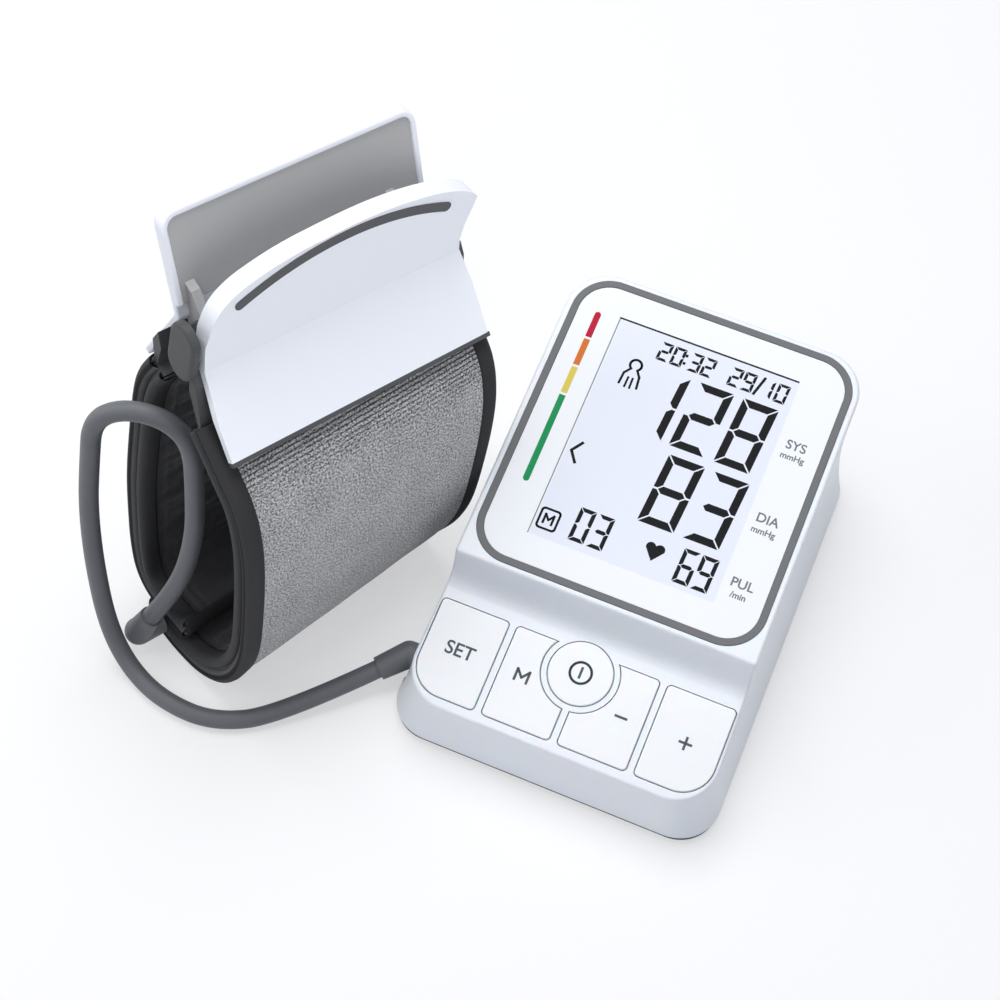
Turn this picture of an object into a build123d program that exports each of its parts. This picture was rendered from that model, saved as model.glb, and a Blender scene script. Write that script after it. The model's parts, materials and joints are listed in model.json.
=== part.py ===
from build123d import *
import math
import os

os.makedirs("parts", exist_ok=True)

# Upper arm blood pressure monitor: desk unit, air hose and clip cuff. Millimetres.
# Origin: centre of the monitor's base on the table. X is the width, keys face -Y, Z is up.

# monitor case
base_half_width = 55.5
base_front = -77.0
base_rear = 77.0
base_corner = 14.0
deck_front_y = -74.8
deck_front_z = 25.9
deck_tilt = 12.6
sweep_y = -38.8
window_front_y = -31.0
window_front_z = 47.8
window_tilt = 10.7
rim_front_y = -32.9
wall = 2.0
deck_roof = 4.6
window_roof = 3.2
parting_z = 3.2
tongue_z = 9.0
fit_gap = 0.15
edge_round = 1.0

# keys
key_half_span = 48.85
key_width = 22.4
key_gap = 2.7
key_front = 3.2
key_rear = 33.4
key_corner = 1.4
key_outer_corner = 10.5
power_v = 26.4
power_radius = 10.2
power_cut = 12.6
tray_gap = 0.35
tray_depth = 2.6
key_plate = 1.6
key_proud = 0.3
key_travel = 0.8
stem_radius = 2.2
stem_clear = 0.06
collar_radius = 3.0
collar_height = 0.75
key_board_depth = 7.1
key_board_front = 2.5
key_board_rear = 31.0
board_thick = 1.6

# display window
ring_half_width = 47.5
ring_length = 103.9
ring_corner = 13.0
ring_band = 2.3
ring_proud = 0.3
recess_depth = 1.7
window_clear = 0.1
view_half_width = 30.5
view_front = 12.1
view_rear = 91.7
glass_thick = 2.0
light_thick = 2.6

# air system and batteries
bay_half_width = 31.6
bay_front = 10.0
bay_rear = 66.4
bay_top = 18.6
bay_wall = 1.6
cell_radius = 7.1
cell_length = 48.6
cell_pitch = 14.9
cell_z = 9.9
spring_seat = 0.5
lid_thick = 1.6
lid_gap = 0.3
lid_lift = 0.25
socket_y = -55.0
socket_z = 11.5
socket_inset = 5.1
socket_face_x = socket_inset - base_half_width
hose_radius = 3.0
nozzle_radius = 2.0
tube_radius = 2.5

# cuff, in its own frame: x along the arm, y to the back, z up
cuff_aside = 51.1
cuff_ahead = 14.1
cuff_origin = (-base_half_width - cuff_aside, base_front - cuff_ahead, 0.0)
cuff_turn = 61.63
cuff_lean = 9.0
cuff_left = 2.0
cuff_right = 88.5
right_shear = 0.08
right_scale = 0.8975
hinge_y = 34.0
hinge_z = 139.0
cover_thick = 1.4
frame_thick = 1.8
bladder_thick = 3.2
lining_thick = 1.2
binding_width = 1.6
shell_thick = 2.4
shell_left = 3.7
shell_right = 98.9
lip_width = 2.2
lip_depth = 5.6
back_left = 8.0
back_right = 94.5
rim_width = 1.9
rim_rise = 1.7
panel_thick = 1.0
pin_radius = 2.0
pin_clear = 0.05
bracket_radius = 5.5
bracket_thick = 3.0
bracket_gap = 0.4
spring_radius = 5.3
spring_wire = 0.6


def save(shape, name):
    export_step(shape, "parts/" + name + ".step")
    print(name, "volume", round(shape.volume, 1), "solids", len(shape.solids()))


def group(shapes):
    return Compound(children=list(shapes))


# monitor case
deck_plane = Plane(
    origin=(0, deck_front_y, deck_front_z),
    x_dir=(1, 0, 0),
    z_dir=(0, -math.sin(math.radians(deck_tilt)), math.cos(math.radians(deck_tilt))),
)
window_plane = Plane(
    origin=(0, window_front_y, window_front_z),
    x_dir=(1, 0, 0),
    z_dir=(0, -math.sin(math.radians(window_tilt)), math.cos(math.radians(window_tilt))),
)


def deck_height(y, drop=0.0):
    slope = math.radians(deck_tilt)
    return deck_front_z + (y - deck_front_y) * math.tan(slope) - drop / math.cos(slope)


def window_height(y, drop=0.0):
    slope = math.radians(window_tilt)
    return window_front_z + (y - window_front_y) * math.tan(slope) - drop / math.cos(slope)


# height, half width, front y, rear y of the plan outline: wide foot, steeper walls above
case_levels = [
    (0.0, base_half_width, base_front, base_rear),
    (12.0, base_half_width - 2.7, base_front + 1.1, base_rear - 0.9),
    (26.0, base_half_width - 4.9, deck_front_y, base_rear - 1.8),
    (48.0, base_half_width - 5.9, deck_front_y + 1.0, base_rear - 3.0),
    (74.0, base_half_width - 6.3, deck_front_y + 1.6, base_rear - 4.2),
]


def plan_outline(level, inset):
    height, half_width, front, rear = level
    size_y = rear - front - 2 * inset
    outline = RectangleRounded(2 * (half_width - inset), size_y, base_corner - inset)
    return Plane.XY.offset(height) * Pos(0, (front + rear) / 2) * outline


def case_block(inset, deck_drop, window_drop):
    body = loft([plan_outline(level, inset) for level in case_levels])
    first = (sweep_y + 0.5 * inset, deck_height(sweep_y + 0.5 * inset, deck_drop))
    last_y = rim_front_y + inset
    last = (last_y, window_height(last_y, window_drop) - 1.2)
    slope = math.radians(deck_tilt)
    outline = [
        Line((-90, -5), (-90, deck_height(-90, deck_drop))),
        Line((-90, deck_height(-90, deck_drop)), first),
        Spline(first, last, tangents=[(math.cos(slope), math.sin(slope)), (0.12, 1.0)]),
        Line(last, (last_y + 0.4, window_height(last_y + 0.4, window_drop))),
        Line((last_y + 0.4, window_height(last_y + 0.4, window_drop)), (90, window_height(90, window_drop))),
        Line((90, window_height(90, window_drop)), (90, -5)),
        Line((90, -5), (-90, -5)),
    ]
    side = extrude(Plane.YZ * make_face(outline), amount=70, both=True)
    return body & side


def slab(low, high):
    return Pos(0, 0, (low + high) / 2) * Box(200, 240, high - low)


outer_block = case_block(0.0, 0.0, 0.0)
inner_block = case_block(wall, deck_roof, window_roof)

top_edges = outer_block.edges().filter_by(lambda e: e.center().Z > 20)
rounded_block = fillet(top_edges, edge_round)

top_cover = rounded_block - inner_block
top_cover = top_cover & slab(parting_z, 90)


# key outlines on the deck plane
def key_outline(index, grow=0.0):
    left = -key_half_span + index * (key_width + key_gap)
    right = left + key_width
    rect = Pos((left + right) / 2, (key_front + key_rear) / 2) * Rectangle(
        key_width + 2 * grow, key_rear - key_front + 2 * grow
    )
    corners = rect.vertices()
    outer = [v for v in corners if v.Y < 10 and abs(v.X) > key_half_span - 2]
    others = [v for v in corners if v not in outer]
    shape = fillet(others, key_corner + grow)
    outer = [v for v in shape.vertices() if v.Y < key_front + 0.01 - grow and abs(v.X) > key_half_span - 0.01]
    if outer:
        shape = fillet(outer, key_outer_corner + grow)
    if index in (1, 2):
        shape = shape - Pos(0, power_v) * Circle(power_cut - grow)
    return shape


def power_outline(grow=0.0):
    return Pos(0, power_v) * Circle(power_radius + grow)


def deck_prism(sketch, low, high):
    return extrude(deck_plane.offset(low) * sketch, amount=high - low)


key_names = ["set_button", "memory_button", "minus_button", "plus_button"]
stem_spots = []
for index in range(4):
    left = -key_half_span + index * (key_width + key_gap)
    stem_spots.append((left + key_width / 2, 11.5 if index in (1, 2) else 17.0))
stem_spots.append((0.0, power_v))

outlines = [key_outline(index) for index in range(4)] + [power_outline()]
grown = [key_outline(index, tray_gap) for index in range(4)] + [power_outline(tray_gap)]
for sketch, spot in zip(grown, stem_spots):
    top_cover = top_cover - deck_prism(sketch, -tray_depth, 5)
    top_cover = top_cover - deck_prism(Pos(*spot) * Circle(stem_radius + stem_clear), -8, 0)

keys = []
floor_under = -deck_roof
for sketch, spot in zip(outlines, stem_spots):
    cap = deck_prism(sketch, key_proud - key_plate, key_proud)
    cap = chamfer(cap.faces().sort_by(Axis(deck_plane.origin, deck_plane.z_dir))[-1].edges(), 0.25)
    stem = deck_prism(Pos(*spot) * Circle(stem_radius), floor_under - collar_height, key_proud - key_plate)
    collar = deck_prism(Pos(*spot) * Circle(collar_radius), floor_under - collar_height, floor_under - 0.05)
    keys.append(cap + stem + collar)

# display recess, view opening and screen bosses in the top cover
def window_rect(half_width, front, rear, corner, low, high):
    sketch = Pos(0, (front + rear) / 2) * RectangleRounded(2 * half_width, rear - front, corner)
    return extrude(window_plane.offset(low) * sketch, amount=high - low)


recess = window_rect(
    ring_half_width + window_clear, -window_clear, ring_length + window_clear,
    ring_corner + window_clear, -recess_depth, 6,
)
opening = window_rect(view_half_width + 1.0, view_front - 1.0, view_rear + 1.0, 1.0, -8, 0)
top_cover = top_cover - recess - opening

window_trim = window_rect(ring_half_width, 0, ring_length, ring_corner, -recess_depth, ring_proud)
window_trim = window_trim - window_rect(
    ring_half_width - ring_band, ring_band, ring_length - ring_band, ring_corner - ring_band, -9, 9
)
inner_half = ring_half_width - ring_band - window_clear
display_window = window_rect(
    inner_half, ring_band + window_clear, ring_length - ring_band - window_clear,
    ring_corner - ring_band - window_clear, -recess_depth, 0.0,
)

glass_half = view_half_width + 2.2
glass_front = view_front - 2.6
glass_rear = view_rear + 2.6
lcd_low = -window_roof - glass_thick
lcd_panel = window_rect(glass_half, glass_front, glass_rear, 0.6, lcd_low, -window_roof)
light_low = lcd_low - light_thick
lcd_backlight = window_rect(glass_half, glass_front, glass_rear, 0.6, light_low, lcd_low)
lcd_holder = window_rect(glass_half + 2.4, glass_front - 2.4, glass_rear + 2.4, 1.5, light_low, -window_roof)
lcd_holder = lcd_holder - window_rect(glass_half, glass_front, glass_rear, 0.6, -20, 0)

board_half = 41.5
board_front = 4.0
board_rear = 99.0
board_low = light_low - board_thick
main_board = window_rect(board_half, board_front, board_rear, 2.0, board_low, light_low)
boss_spots = [(sx * (board_half - 2.9), v) for sx in (-1, 1) for v in (board_front + 2.9, board_rear - 2.9)]
board_screws = []
for spot in boss_spots:
    boss = extrude(window_plane.offset(light_low) * Pos(*spot) * Circle(2.4), amount=light_thick + glass_thick + 0.2)
    hole = extrude(window_plane.offset(board_low - 1) * Pos(*spot) * Circle(0.9), amount=board_thick + 5.2)
    top_cover = top_cover + boss
    top_cover = top_cover - hole
    main_board = main_board - hole
    head = extrude(window_plane.offset(board_low - 1.2) * Pos(*spot) * Circle(1.9), amount=1.2)
    shank = extrude(window_plane.offset(board_low) * Pos(*spot) * Circle(0.9), amount=board_thick + 4.2)
    board_screws.append(head + shank)

# key board with dome switches under the deck
key_board_sketch = Pos(0, (key_board_front + key_board_rear) / 2) * RectangleRounded(
    84.0, key_board_rear - key_board_front, 3.0
)
key_board = deck_prism(key_board_sketch, -key_board_depth - board_thick, -key_board_depth)
key_domes = []
for spot in stem_spots:
    dome_height = key_board_depth - deck_roof - collar_height - key_travel - 0.1
    dome = deck_prism(Pos(*spot) * Circle(3.2), -key_board_depth, -key_board_depth + dome_height)
    key_domes.append(chamfer(dome.edges().group_by(Axis(deck_plane.origin, deck_plane.z_dir))[-1], 0.3))
for spot in [(sx * 27.0, v) for sx in (-1, 1) for v in (key_board_front + 3.5, key_board_rear - 3.0)]:
    boss = deck_prism(Pos(*spot) * Circle(2.4), -key_board_depth, -deck_roof + 0.2)
    hole = deck_prism(Pos(*spot) * Circle(0.9), -key_board_depth - board_thick - 1, -deck_roof + 0.2)
    top_cover = top_cover + boss
    top_cover = top_cover - hole
    key_board = key_board - hole
    low = -key_board_depth - board_thick
    head = deck_prism(Pos(*spot) * Circle(1.9), low - 1.2, low)
    shank = deck_prism(Pos(*spot) * Circle(0.9), low, low + board_thick + 2.0)
    board_screws.append(head + shank)

# flat ribbon between the two boards
ribbon_start = deck_plane.from_local_coords(Vector(0, key_board_rear + 0.15, 0.25 - key_board_depth - board_thick / 2))
ribbon_end = window_plane.from_local_coords(Vector(0, board_front - 0.45, (board_low + light_low) / 2))
ribbon_line = Spline(
    (ribbon_start.Y, ribbon_start.Z), (ribbon_end.Y, ribbon_end.Z), tangents=[(1.0, 0.05), (0.25, 1.0)]
)
ribbon_other = Pos(0.3, -0.3) * ribbon_line
ribbon_face = make_face([
    ribbon_line,
    Line(ribbon_line @ 1, ribbon_other @ 1),
    ribbon_other,
    Line(ribbon_other @ 0, ribbon_line @ 0),
])
board_ribbon = extrude(Plane.YZ * ribbon_face, amount=12, both=True)

# bottom cover
plate = case_block(1.3, 0, 0) & slab(0, parting_z)
tongue = (case_block(wall + fit_gap, 5, 5) - case_block(wall + fit_gap + 1.6, 0, 0)) & slab(0, tongue_z)
hollow = case_block(wall + fit_gap + 1.6, 0, 0) & slab(2.0, tongue_z + 5)
bottom_cover = (plate + tongue) - hollow
bay_outer = Pos(0, (bay_front + bay_rear) / 2, (bay_top + bay_wall) / 2) * Box(
    2 * (bay_half_width + bay_wall), bay_rear - bay_front + 2 * bay_wall, bay_top + bay_wall
)
bay_inner = Pos(0, (bay_front + bay_rear) / 2, (bay_top - 2) / 2) * Box(
    2 * bay_half_width, bay_rear - bay_front, bay_top + 2
)
bottom_cover = (bottom_cover + bay_outer) - bay_inner

# lid stubs turn in holes of the bay walls
lid_axis_y = bay_front + 2.0
lid_axis_z = 1.35
stub_radius = 0.8
stub_hole = Pos(0, lid_axis_y, lid_axis_z) * Rot(0, 90, 0) * Cylinder(stub_radius + 0.08, 2 * bay_half_width + 3.0)
bottom_cover = bottom_cover - stub_hole
lid_front = bay_front + lid_gap + 0.2
lid_rear = bay_rear - lid_gap
battery_cover = Pos(0, (lid_front + lid_rear) / 2, lid_lift + lid_thick / 2) * Box(
    2 * (bay_half_width - lid_gap), lid_rear - lid_front, lid_thick
)
lid_stubs = Pos(0, lid_axis_y, lid_axis_z) * Rot(0, 90, 0) * Cylinder(stub_radius, 2 * bay_half_width + 2.4)
lid_core = Pos(0, lid_axis_y, lid_axis_z) * Rot(0, 90, 0) * Cylinder(1.1, 2 * (bay_half_width - lid_gap))
battery_cover = battery_cover + lid_stubs + lid_core
latch_slot = Pos(0, lid_rear - 1.5, 0) * Box(14, 1.2, 1.2)
battery_cover = battery_cover - latch_slot
for step in range(5):
    battery_cover = battery_cover - Pos(0, lid_rear - 8 - 2.2 * step, lid_lift) * Box(18 - 2 * step, 0.9, 0.8)

# cells, contact plates and springs
cell_middle = (bay_front + bay_rear) / 2
batteries = []
battery_springs = []
contact_plates = []
for index in range(4):
    way = 1 if index % 2 == 0 else -1
    x = (index - 1.5) * cell_pitch
    button_end = cell_middle + way * (bay_rear - bay_front) / 2 - way * 0.6
    body_far = button_end - way * 1.6
    body_near = body_far - way * cell_length
    can = Pos(x, (body_far + body_near) / 2, cell_z) * Rot(90, 0, 0) * Cylinder(cell_radius, cell_length)
    button = Pos(x, (body_far + button_end) / 2, cell_z) * Rot(90, 0, 0) * Cylinder(2.6, 1.6)
    batteries.append(chamfer(can.edges(), 0.5) + button)
    back_face = cell_middle - way * ((bay_rear - bay_front) / 2 - 0.6)
    reach = abs(back_face - body_near)
    turns = 3
    coil_height = reach - 2 * spring_seat - 0.6
    coil_line = Helix(pitch=coil_height / turns, height=coil_height, radius=3.2)
    coil = sweep(Plane(origin=coil_line @ 0, z_dir=coil_line % 0) * Circle(0.42), path=coil_line)
    seats = Pos(0, 0, spring_seat / 2) * Cylinder(3.6, spring_seat)
    seats = seats + Pos(0, 0, reach - spring_seat / 2) * Cylinder(3.6, spring_seat)
    spring_body = Pos(0, 0, spring_seat + 0.3) * coil + seats
    turned = Rot(90, 0, 0) if way < 0 else Rot(-90, 0, 0)
    battery_springs.append(Pos(x, back_face, cell_z) * turned * spring_body)
for end_y in (bay_front + 0.3, bay_rear - 0.3):
    for side in (-1, 1):
        contact_plates.append(Pos(side * cell_pitch, end_y, cell_z) * Box(2 * cell_pitch - 2.4, 0.6, 12))

# case screws and rubber feet
case_screws = []
feet = []
for sx in (-1, 1):
    for y in (-64.5, 65.0):
        x = sx * 45.6
        roof = deck_height(y, deck_roof) if y < 0 else window_height(y, window_roof)
        boss = Pos(x, y, (5.0 + roof + 1) / 2) * Cylinder(3.3, roof + 1 - 5.0)
        boss = boss & outer_block
        top_cover = top_cover + boss
        top_cover = top_cover - Pos(x, y, 9.5) * Cylinder(1.25, 10)
        stand = Pos(x, y, 3.4) * Cylinder(3.3, 3.2)
        bottom_cover = bottom_cover + stand
        bottom_cover = bottom_cover - Pos(x, y, 3) * Cylinder(1.45, 8)
        bottom_cover = bottom_cover - Pos(x, y, 1.6) * Cylinder(2.9, 3.2)
        head = Pos(x, y, 2.3) * Cylinder(2.6, 1.8)
        cross = Pos(x, y, 1.6) * (Box(3.0, 0.6, 0.8) + Box(0.6, 3.0, 0.8))
        shank = Pos(x, y, 8.2) * Cylinder(1.25, 10.0)
        case_screws.append(head + shank - cross)
    for y in (-50.0, 72.0 - 22.0):
        x = sx * 44.0
        foot = Pos(x, y, 0.8) * Cylinder(5.0, 1.6)
        feet.append(foot)
        bottom_cover = bottom_cover - foot
        pad = Pos(x, y, 2.3) * Cylinder(6.4, 1.4)
        bottom_cover = bottom_cover + (pad - foot)

# air socket in the left wall, with a hollow for the angled plug
hollow_middle = (socket_face_x - 5.6, socket_y - 1.2, socket_z - 0.4)
socket_boss = (Pos(*hollow_middle) * Sphere(10.4)) & outer_block & slab(parting_z + 1.2, 30)
top_cover = top_cover + socket_boss
socket_boss_tube = Pos(socket_face_x + 2.4, socket_y, socket_z) * Rot(0, 90, 0) * Cylinder(6.6, 4.8)
top_cover = top_cover + socket_boss_tube
top_cover = top_cover - Pos(*hollow_middle) * Sphere(8.6)
top_cover = top_cover - Pos(socket_face_x - 4, socket_y, socket_z) * Rot(0, 90, 0) * Cylinder(5.6, 8.0)
top_cover = top_cover - Pos(socket_face_x + 4, socket_y, socket_z) * Rot(0, 90, 0) * Cylinder(4.0, 10.0)
tongue_notch = Pos(socket_face_x, socket_y, tongue_z - 1.2) * Box(16, 24, 9.6)
bottom_cover = bottom_cover - tongue_notch

tube_in = Pos(socket_face_x + 4.4, socket_y, socket_z) * Rot(0, 90, 0) * Cylinder(3.96, 8.8)
flange_in = Pos(socket_face_x + 5.4, socket_y, socket_z) * Rot(0, 90, 0) * Cylinder(5.6, 1.2)
barb = Pos(socket_face_x + 10.8, socket_y, socket_z) * Rot(0, 90, 0) * Cylinder(nozzle_radius, 4.0)
bore = Pos(socket_face_x + 3.0, socket_y, socket_z) * Rot(0, 90, 0) * Cylinder(2.6, 6.0)
air_socket = tube_in + flange_in + barb - bore

# hose route
cuff_yaw = math.radians(cuff_turn)
cuff_pitch = math.radians(cuff_lean)
cuff_plane = Plane(
    origin=cuff_origin,
    x_dir=(
        math.cos(cuff_pitch) * math.cos(cuff_yaw),
        math.cos(cuff_pitch) * math.sin(cuff_yaw),
        -math.sin(cuff_pitch),
    ),
    z_dir=(
        math.sin(cuff_pitch) * math.cos(cuff_yaw),
        math.sin(cuff_pitch) * math.sin(cuff_yaw),
        math.cos(cuff_pitch),
    ),
)
cuff_place = cuff_plane.location


def cuff_point(x, y, z):
    return cuff_plane.from_local_coords(Vector(x, y, z))


# where the hose meets its boot at the cuff, and the bend before it (x, y, z in the cuff)
hose_end = (-4.8, 31.0, 16.0)
last_bend = (1.0, 25.5, 34.0)


elbow = Vector(socket_face_x - 4.6, socket_y, socket_z)
first_bend = Vector(-86.0, -88.0, hose_radius + 0.3)
plug_way = (first_bend - elbow).normalized()
plug_length = 11.0
hose_start = elbow + plug_way * plug_length
hose_points = [
    hose_start,
    first_bend,
    Vector(-104.0, -98.5, hose_radius + 0.3),
    Vector(-122.0, -98.0, hose_radius + 0.3),
    Vector(-136.5, -92.2, hose_radius + 0.3),
    Vector(-146.2, -86.2, 15.0),
    cuff_point(-17.6, 43.6, 40.0),
    cuff_point(-16.6, 48.8, 64.0),
    cuff_point(-15.4, 49.8, 86.0),
    cuff_point(-14.8, 49.4, 104.0),
    cuff_point(-9.2, 43.0, 112.5),
    cuff_point(-1.2, 34.0, 112.5),
    cuff_point(4.4, 27.6, 104.0),
    cuff_point(5.4, 26.0, 82.0),
    cuff_point(5.8, 25.0, 58.0),
    cuff_point(*last_bend),
    cuff_point(*hose_end),
]


def bend_radii(points):
    radii = []
    for before, corner, after in zip(points, points[1:], points[2:]):
        first = corner - before
        second = after - corner
        turn = math.radians(first.get_angle(second))
        radii.append(0.45 * min(first.length, second.length) / math.tan(turn / 2))
    return radii


hose_radii = bend_radii(hose_points)


def rounded_route(points, radii):
    pieces = []
    place = points[0]
    for before, corner, after, radius in zip(points, points[1:], points[2:], radii):
        first = (corner - before).normalized()
        second = (after - corner).normalized()
        turn = math.radians(first.get_angle(second))
        reach = radius * math.tan(turn / 2)
        start = corner - first * reach
        end = corner + second * reach
        toward = (second - first).normalized()
        middle = corner + toward * (radius / math.cos(turn / 2) - radius)
        pieces.append(Line(place, start))
        pieces.append(ThreePointArc(start, middle, end))
        place = end
    pieces.append(Line(place, points[-1]))
    return Wire(pieces)


def tube(path, radius):
    return sweep(Plane(origin=path @ 0, z_dir=path % 0) * Circle(radius), path=path)


hose_path = rounded_route(hose_points, hose_radii)
air_hose = tube(hose_path, hose_radius)
print("hose length", round(hose_path.length, 1), "smallest bend radius", round(min(hose_radii), 1))

# angled plug
plug_barrel = Pos(socket_face_x - 2.3, socket_y, socket_z) * Rot(0, 90, 0) * Cylinder(4.4, 4.6)
plug_nozzle = Pos(socket_face_x + 2.5, socket_y, socket_z) * Rot(0, 90, 0) * Cylinder(2.55, 5.2)
plug_knee = Pos(elbow) * Sphere(4.4)
plug_sleeve = loft([
    Plane(origin=elbow, z_dir=plug_way) * Circle(4.4),
    Plane(origin=hose_start, z_dir=plug_way) * Circle(3.9),
])
hose_plug = plug_barrel + plug_nozzle + plug_knee + plug_sleeve

# pump, valve, sensor
pump_y = -13.0
pump_z = 17.0
pump_axis = Rot(0, 90, 0)
motor = Pos(18, pump_y, pump_z) * pump_axis * Cylinder(12.0, 30.0)
motor = chamfer(motor.edges(), 1.0)
pump_motor = motor + Pos(34.2, pump_y, pump_z) * pump_axis * Cylinder(3.5, 2.4)
pump_head = Pos(-5.5, pump_y, pump_z) * Box(17, 26, 26)
pump_head = fillet(pump_head.edges().filter_by(Axis.X), 4.0)
pump_nozzle = Pos(-6, pump_y - 13 - 2.5, pump_z) * Rot(90, 0, 0) * Cylinder(nozzle_radius, 5.0)
pump_head = pump_head + pump_nozzle
pump_cushion = Pos(10, pump_y, 3.6) * Box(44, 20, 3.2)
pump_cushion = pump_cushion - Pos(18, pump_y, pump_z) * pump_axis * Cylinder(12.0, 30.0)
pump_cushion = pump_cushion - Pos(-5.5, pump_y, pump_z) * Box(17, 26, 26)
pump_cushion = pump_cushion.solids().sort_by(SortBy.VOLUME)[-1]

valve_x = -40.0
valve_y = 6.0
exhaust_valve = Pos(valve_x, valve_y, 13.0) * Cylinder(7.0, 22.0)
exhaust_valve = chamfer(exhaust_valve.edges(), 0.8)
valve_nozzle = Pos(valve_x, valve_y - 9.0, 19.0) * Rot(90, 0, 0) * Cylinder(nozzle_radius, 5.0)
exhaust_valve = exhaust_valve + valve_nozzle

hub_x = -33.0
hub_y = -39.0
hub_z = 11.5
air_manifold = Pos(hub_x, hub_y, hub_z) * Box(9, 9, 9)
air_manifold = air_manifold + Pos(hub_x, hub_y, (2.0 + hub_z - 4.5) / 2) * Box(5, 5, hub_z - 4.5 - 2.0)
air_manifold = air_manifold + Pos(hub_x, hub_y, hub_z) * Rot(90, 0, 0) * Cylinder(nozzle_radius, 16.0)
air_manifold = air_manifold + Pos(hub_x + 4, hub_y, hub_z) * Rot(0, 90, 0) * Cylinder(nozzle_radius, 8.0)
air_manifold = air_manifold + Pos(hub_x, hub_y, hub_z + 4) * Cylinder(nozzle_radius, 8.0)

sensor_v = 16.0
sensor_x = -26.0
sensor_block = window_rect(4.5, sensor_v - 4.5, sensor_v + 4.5, 0.5, board_low - 3.6, board_low)
pressure_sensor = Pos(sensor_x, 0, 0) * sensor_block
sensor_nozzle = extrude(window_plane.offset(board_low - 8.0) * Pos(sensor_x, sensor_v) * Circle(nozzle_radius), amount=4.6)
pressure_sensor = pressure_sensor + sensor_nozzle
sensor_end = window_plane.from_local_coords(Vector(sensor_x, sensor_v, board_low - 8.0))
sensor_way = window_plane.z_dir

inner_tubes = []
tube_runs = [
    [(socket_face_x + 12.8, socket_y, socket_z), (hub_x, hub_y - 8.0, hub_z), (1, 0, 0), (0, 1, 0)],
    [(hub_x + 8.0, hub_y, hub_z), (-6.0, pump_y - 18.0, pump_z), (1, 0, 0), (0, 1, 0)],
    [(hub_x, hub_y + 8.0, hub_z), (valve_x, valve_y - 11.5, 19.0), (0, 1, 0), (0, 1, 0)],
    [(hub_x, hub_y, hub_z + 8.0), sensor_end, (0, 0, 1), sensor_way],
]
for start, end, way_out, way_in in tube_runs:
    run = Spline(start, end, tangents=[way_out, way_in])
    inner_tubes.append(tube(run, tube_radius))

# motor and battery leads up to the main board
leads = []
lead_ends = [
    ((35.4, pump_y - 1.8, pump_z), (1, 0, 0), (36.5, 30.0), 0.55),
    ((35.4, pump_y + 1.8, pump_z), (1, 0, 0), (36.5, 33.0), 0.55),
    ((24.0, bay_front - bay_wall, 16.0), (0, -1, 0), (26.0, 40.0), 0.55),
    ((20.0, bay_front - bay_wall, 16.0), (0, -1, 0), (22.0, 40.0), 0.55),
]
for start, way_out, (board_x, board_v), radius in lead_ends:
    end = window_plane.from_local_coords(Vector(board_x, board_v, board_low))
    run = Spline(start, end, tangents=[way_out, window_plane.z_dir])
    leads.append(tube(run, radius))

# clip cuff
# outer line of each jaw at the left end, from the handles down to its free end (y, z)
front_line = [
    (20.0, 120.5), (13.5, 115.3), (7.4, 110.0), (1.2, 104.6), (-3.6, 96.6), (-7.0, 85.0), (-9.3, 65.8),
    (-10.0, 41.1), (-6.2, 24.0), (1.6, 11.2), (11.6, 3.7), (22.8, 0.8), (32.0, 0.7), (41.0, 2.4),
]
rear_line = [
    (45.0, 126.0), (49.2, 117.0), (52.0, 106.0), (53.7, 85.3), (54.4, 61.8), (52.8, 40.0),
    (51.0, 28.0), (48.2, 19.5), (43.6, 14.3), (37.5, 12.0), (30.0, 11.4), (21.0, 12.0),
]


def jaw_side(points, depth, inward):
    moved = []
    last = len(points) - 1
    for index, (y, z) in enumerate(points):
        before = points[max(index - 1, 0)]
        after = points[min(index + 1, last)]
        run = (after[0] - before[0], after[1] - before[1])
        size = math.hypot(*run)
        moved.append((y - inward * run[1] / size * depth, z + inward * run[0] / size * depth))
    return moved


def jaw_section(points, shallow, deep, inward, end_x=None, shift=0.0):
    scale = 1.0 if end_x is None else right_scale

    def place(y, z):
        py = hinge_y + (y - hinge_y) * scale
        pz = hinge_z + (z - hinge_z) * scale
        px = cuff_left + shift if end_x is None else end_x + shift + right_shear * (pz - 14.0)
        return (px, py, pz)

    near = [place(*p) for p in jaw_side(points, shallow, inward)]
    far = [place(*p) for p in jaw_side(points, deep, inward)]
    near_curve = Spline(*near)
    far_curve = Spline(*far)
    edges = [near_curve, Line(near[-1], far[-1]), far_curve, Line(far[0], near[0])]
    return Face(Wire(edges))


def jaw_layer(points, shallow, deep, inward):
    left = jaw_section(points, shallow, deep, inward)
    right = jaw_section(points, shallow, deep, inward, cuff_right)
    return Solid.make_loft([left.outer_wire(), right.outer_wire()], ruled=True)


def jaw_prism(points):
    ends = []
    for end_x, scale in ((cuff_left, 1.0), (cuff_right, right_scale)):
        corners = []
        for y, z in points:
            height = hinge_z + (z - hinge_z) * scale
            lean = 0.0 if scale == 1.0 else right_shear * (height - 14.0)
            corners.append((end_x + lean, hinge_y + (y - hinge_y) * scale, height))
        ends.append(Wire(Polyline(*corners, close=True)))
    return Solid.make_loft(ends, ruled=True)


def jaw_band(points, inward):
    total = cover_thick + frame_thick + bladder_thick + lining_thick
    bands = []
    for end_x, way in ((None, -1), (cuff_right, 1)):
        near = jaw_section(points, -0.4, total + 0.4, inward, end_x)
        away = jaw_section(points, -0.4, total + 0.4, inward, end_x, way * binding_width)
        bands.append(Solid.make_loft([near.outer_wire(), away.outer_wire()], ruled=True))
    return bands


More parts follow.
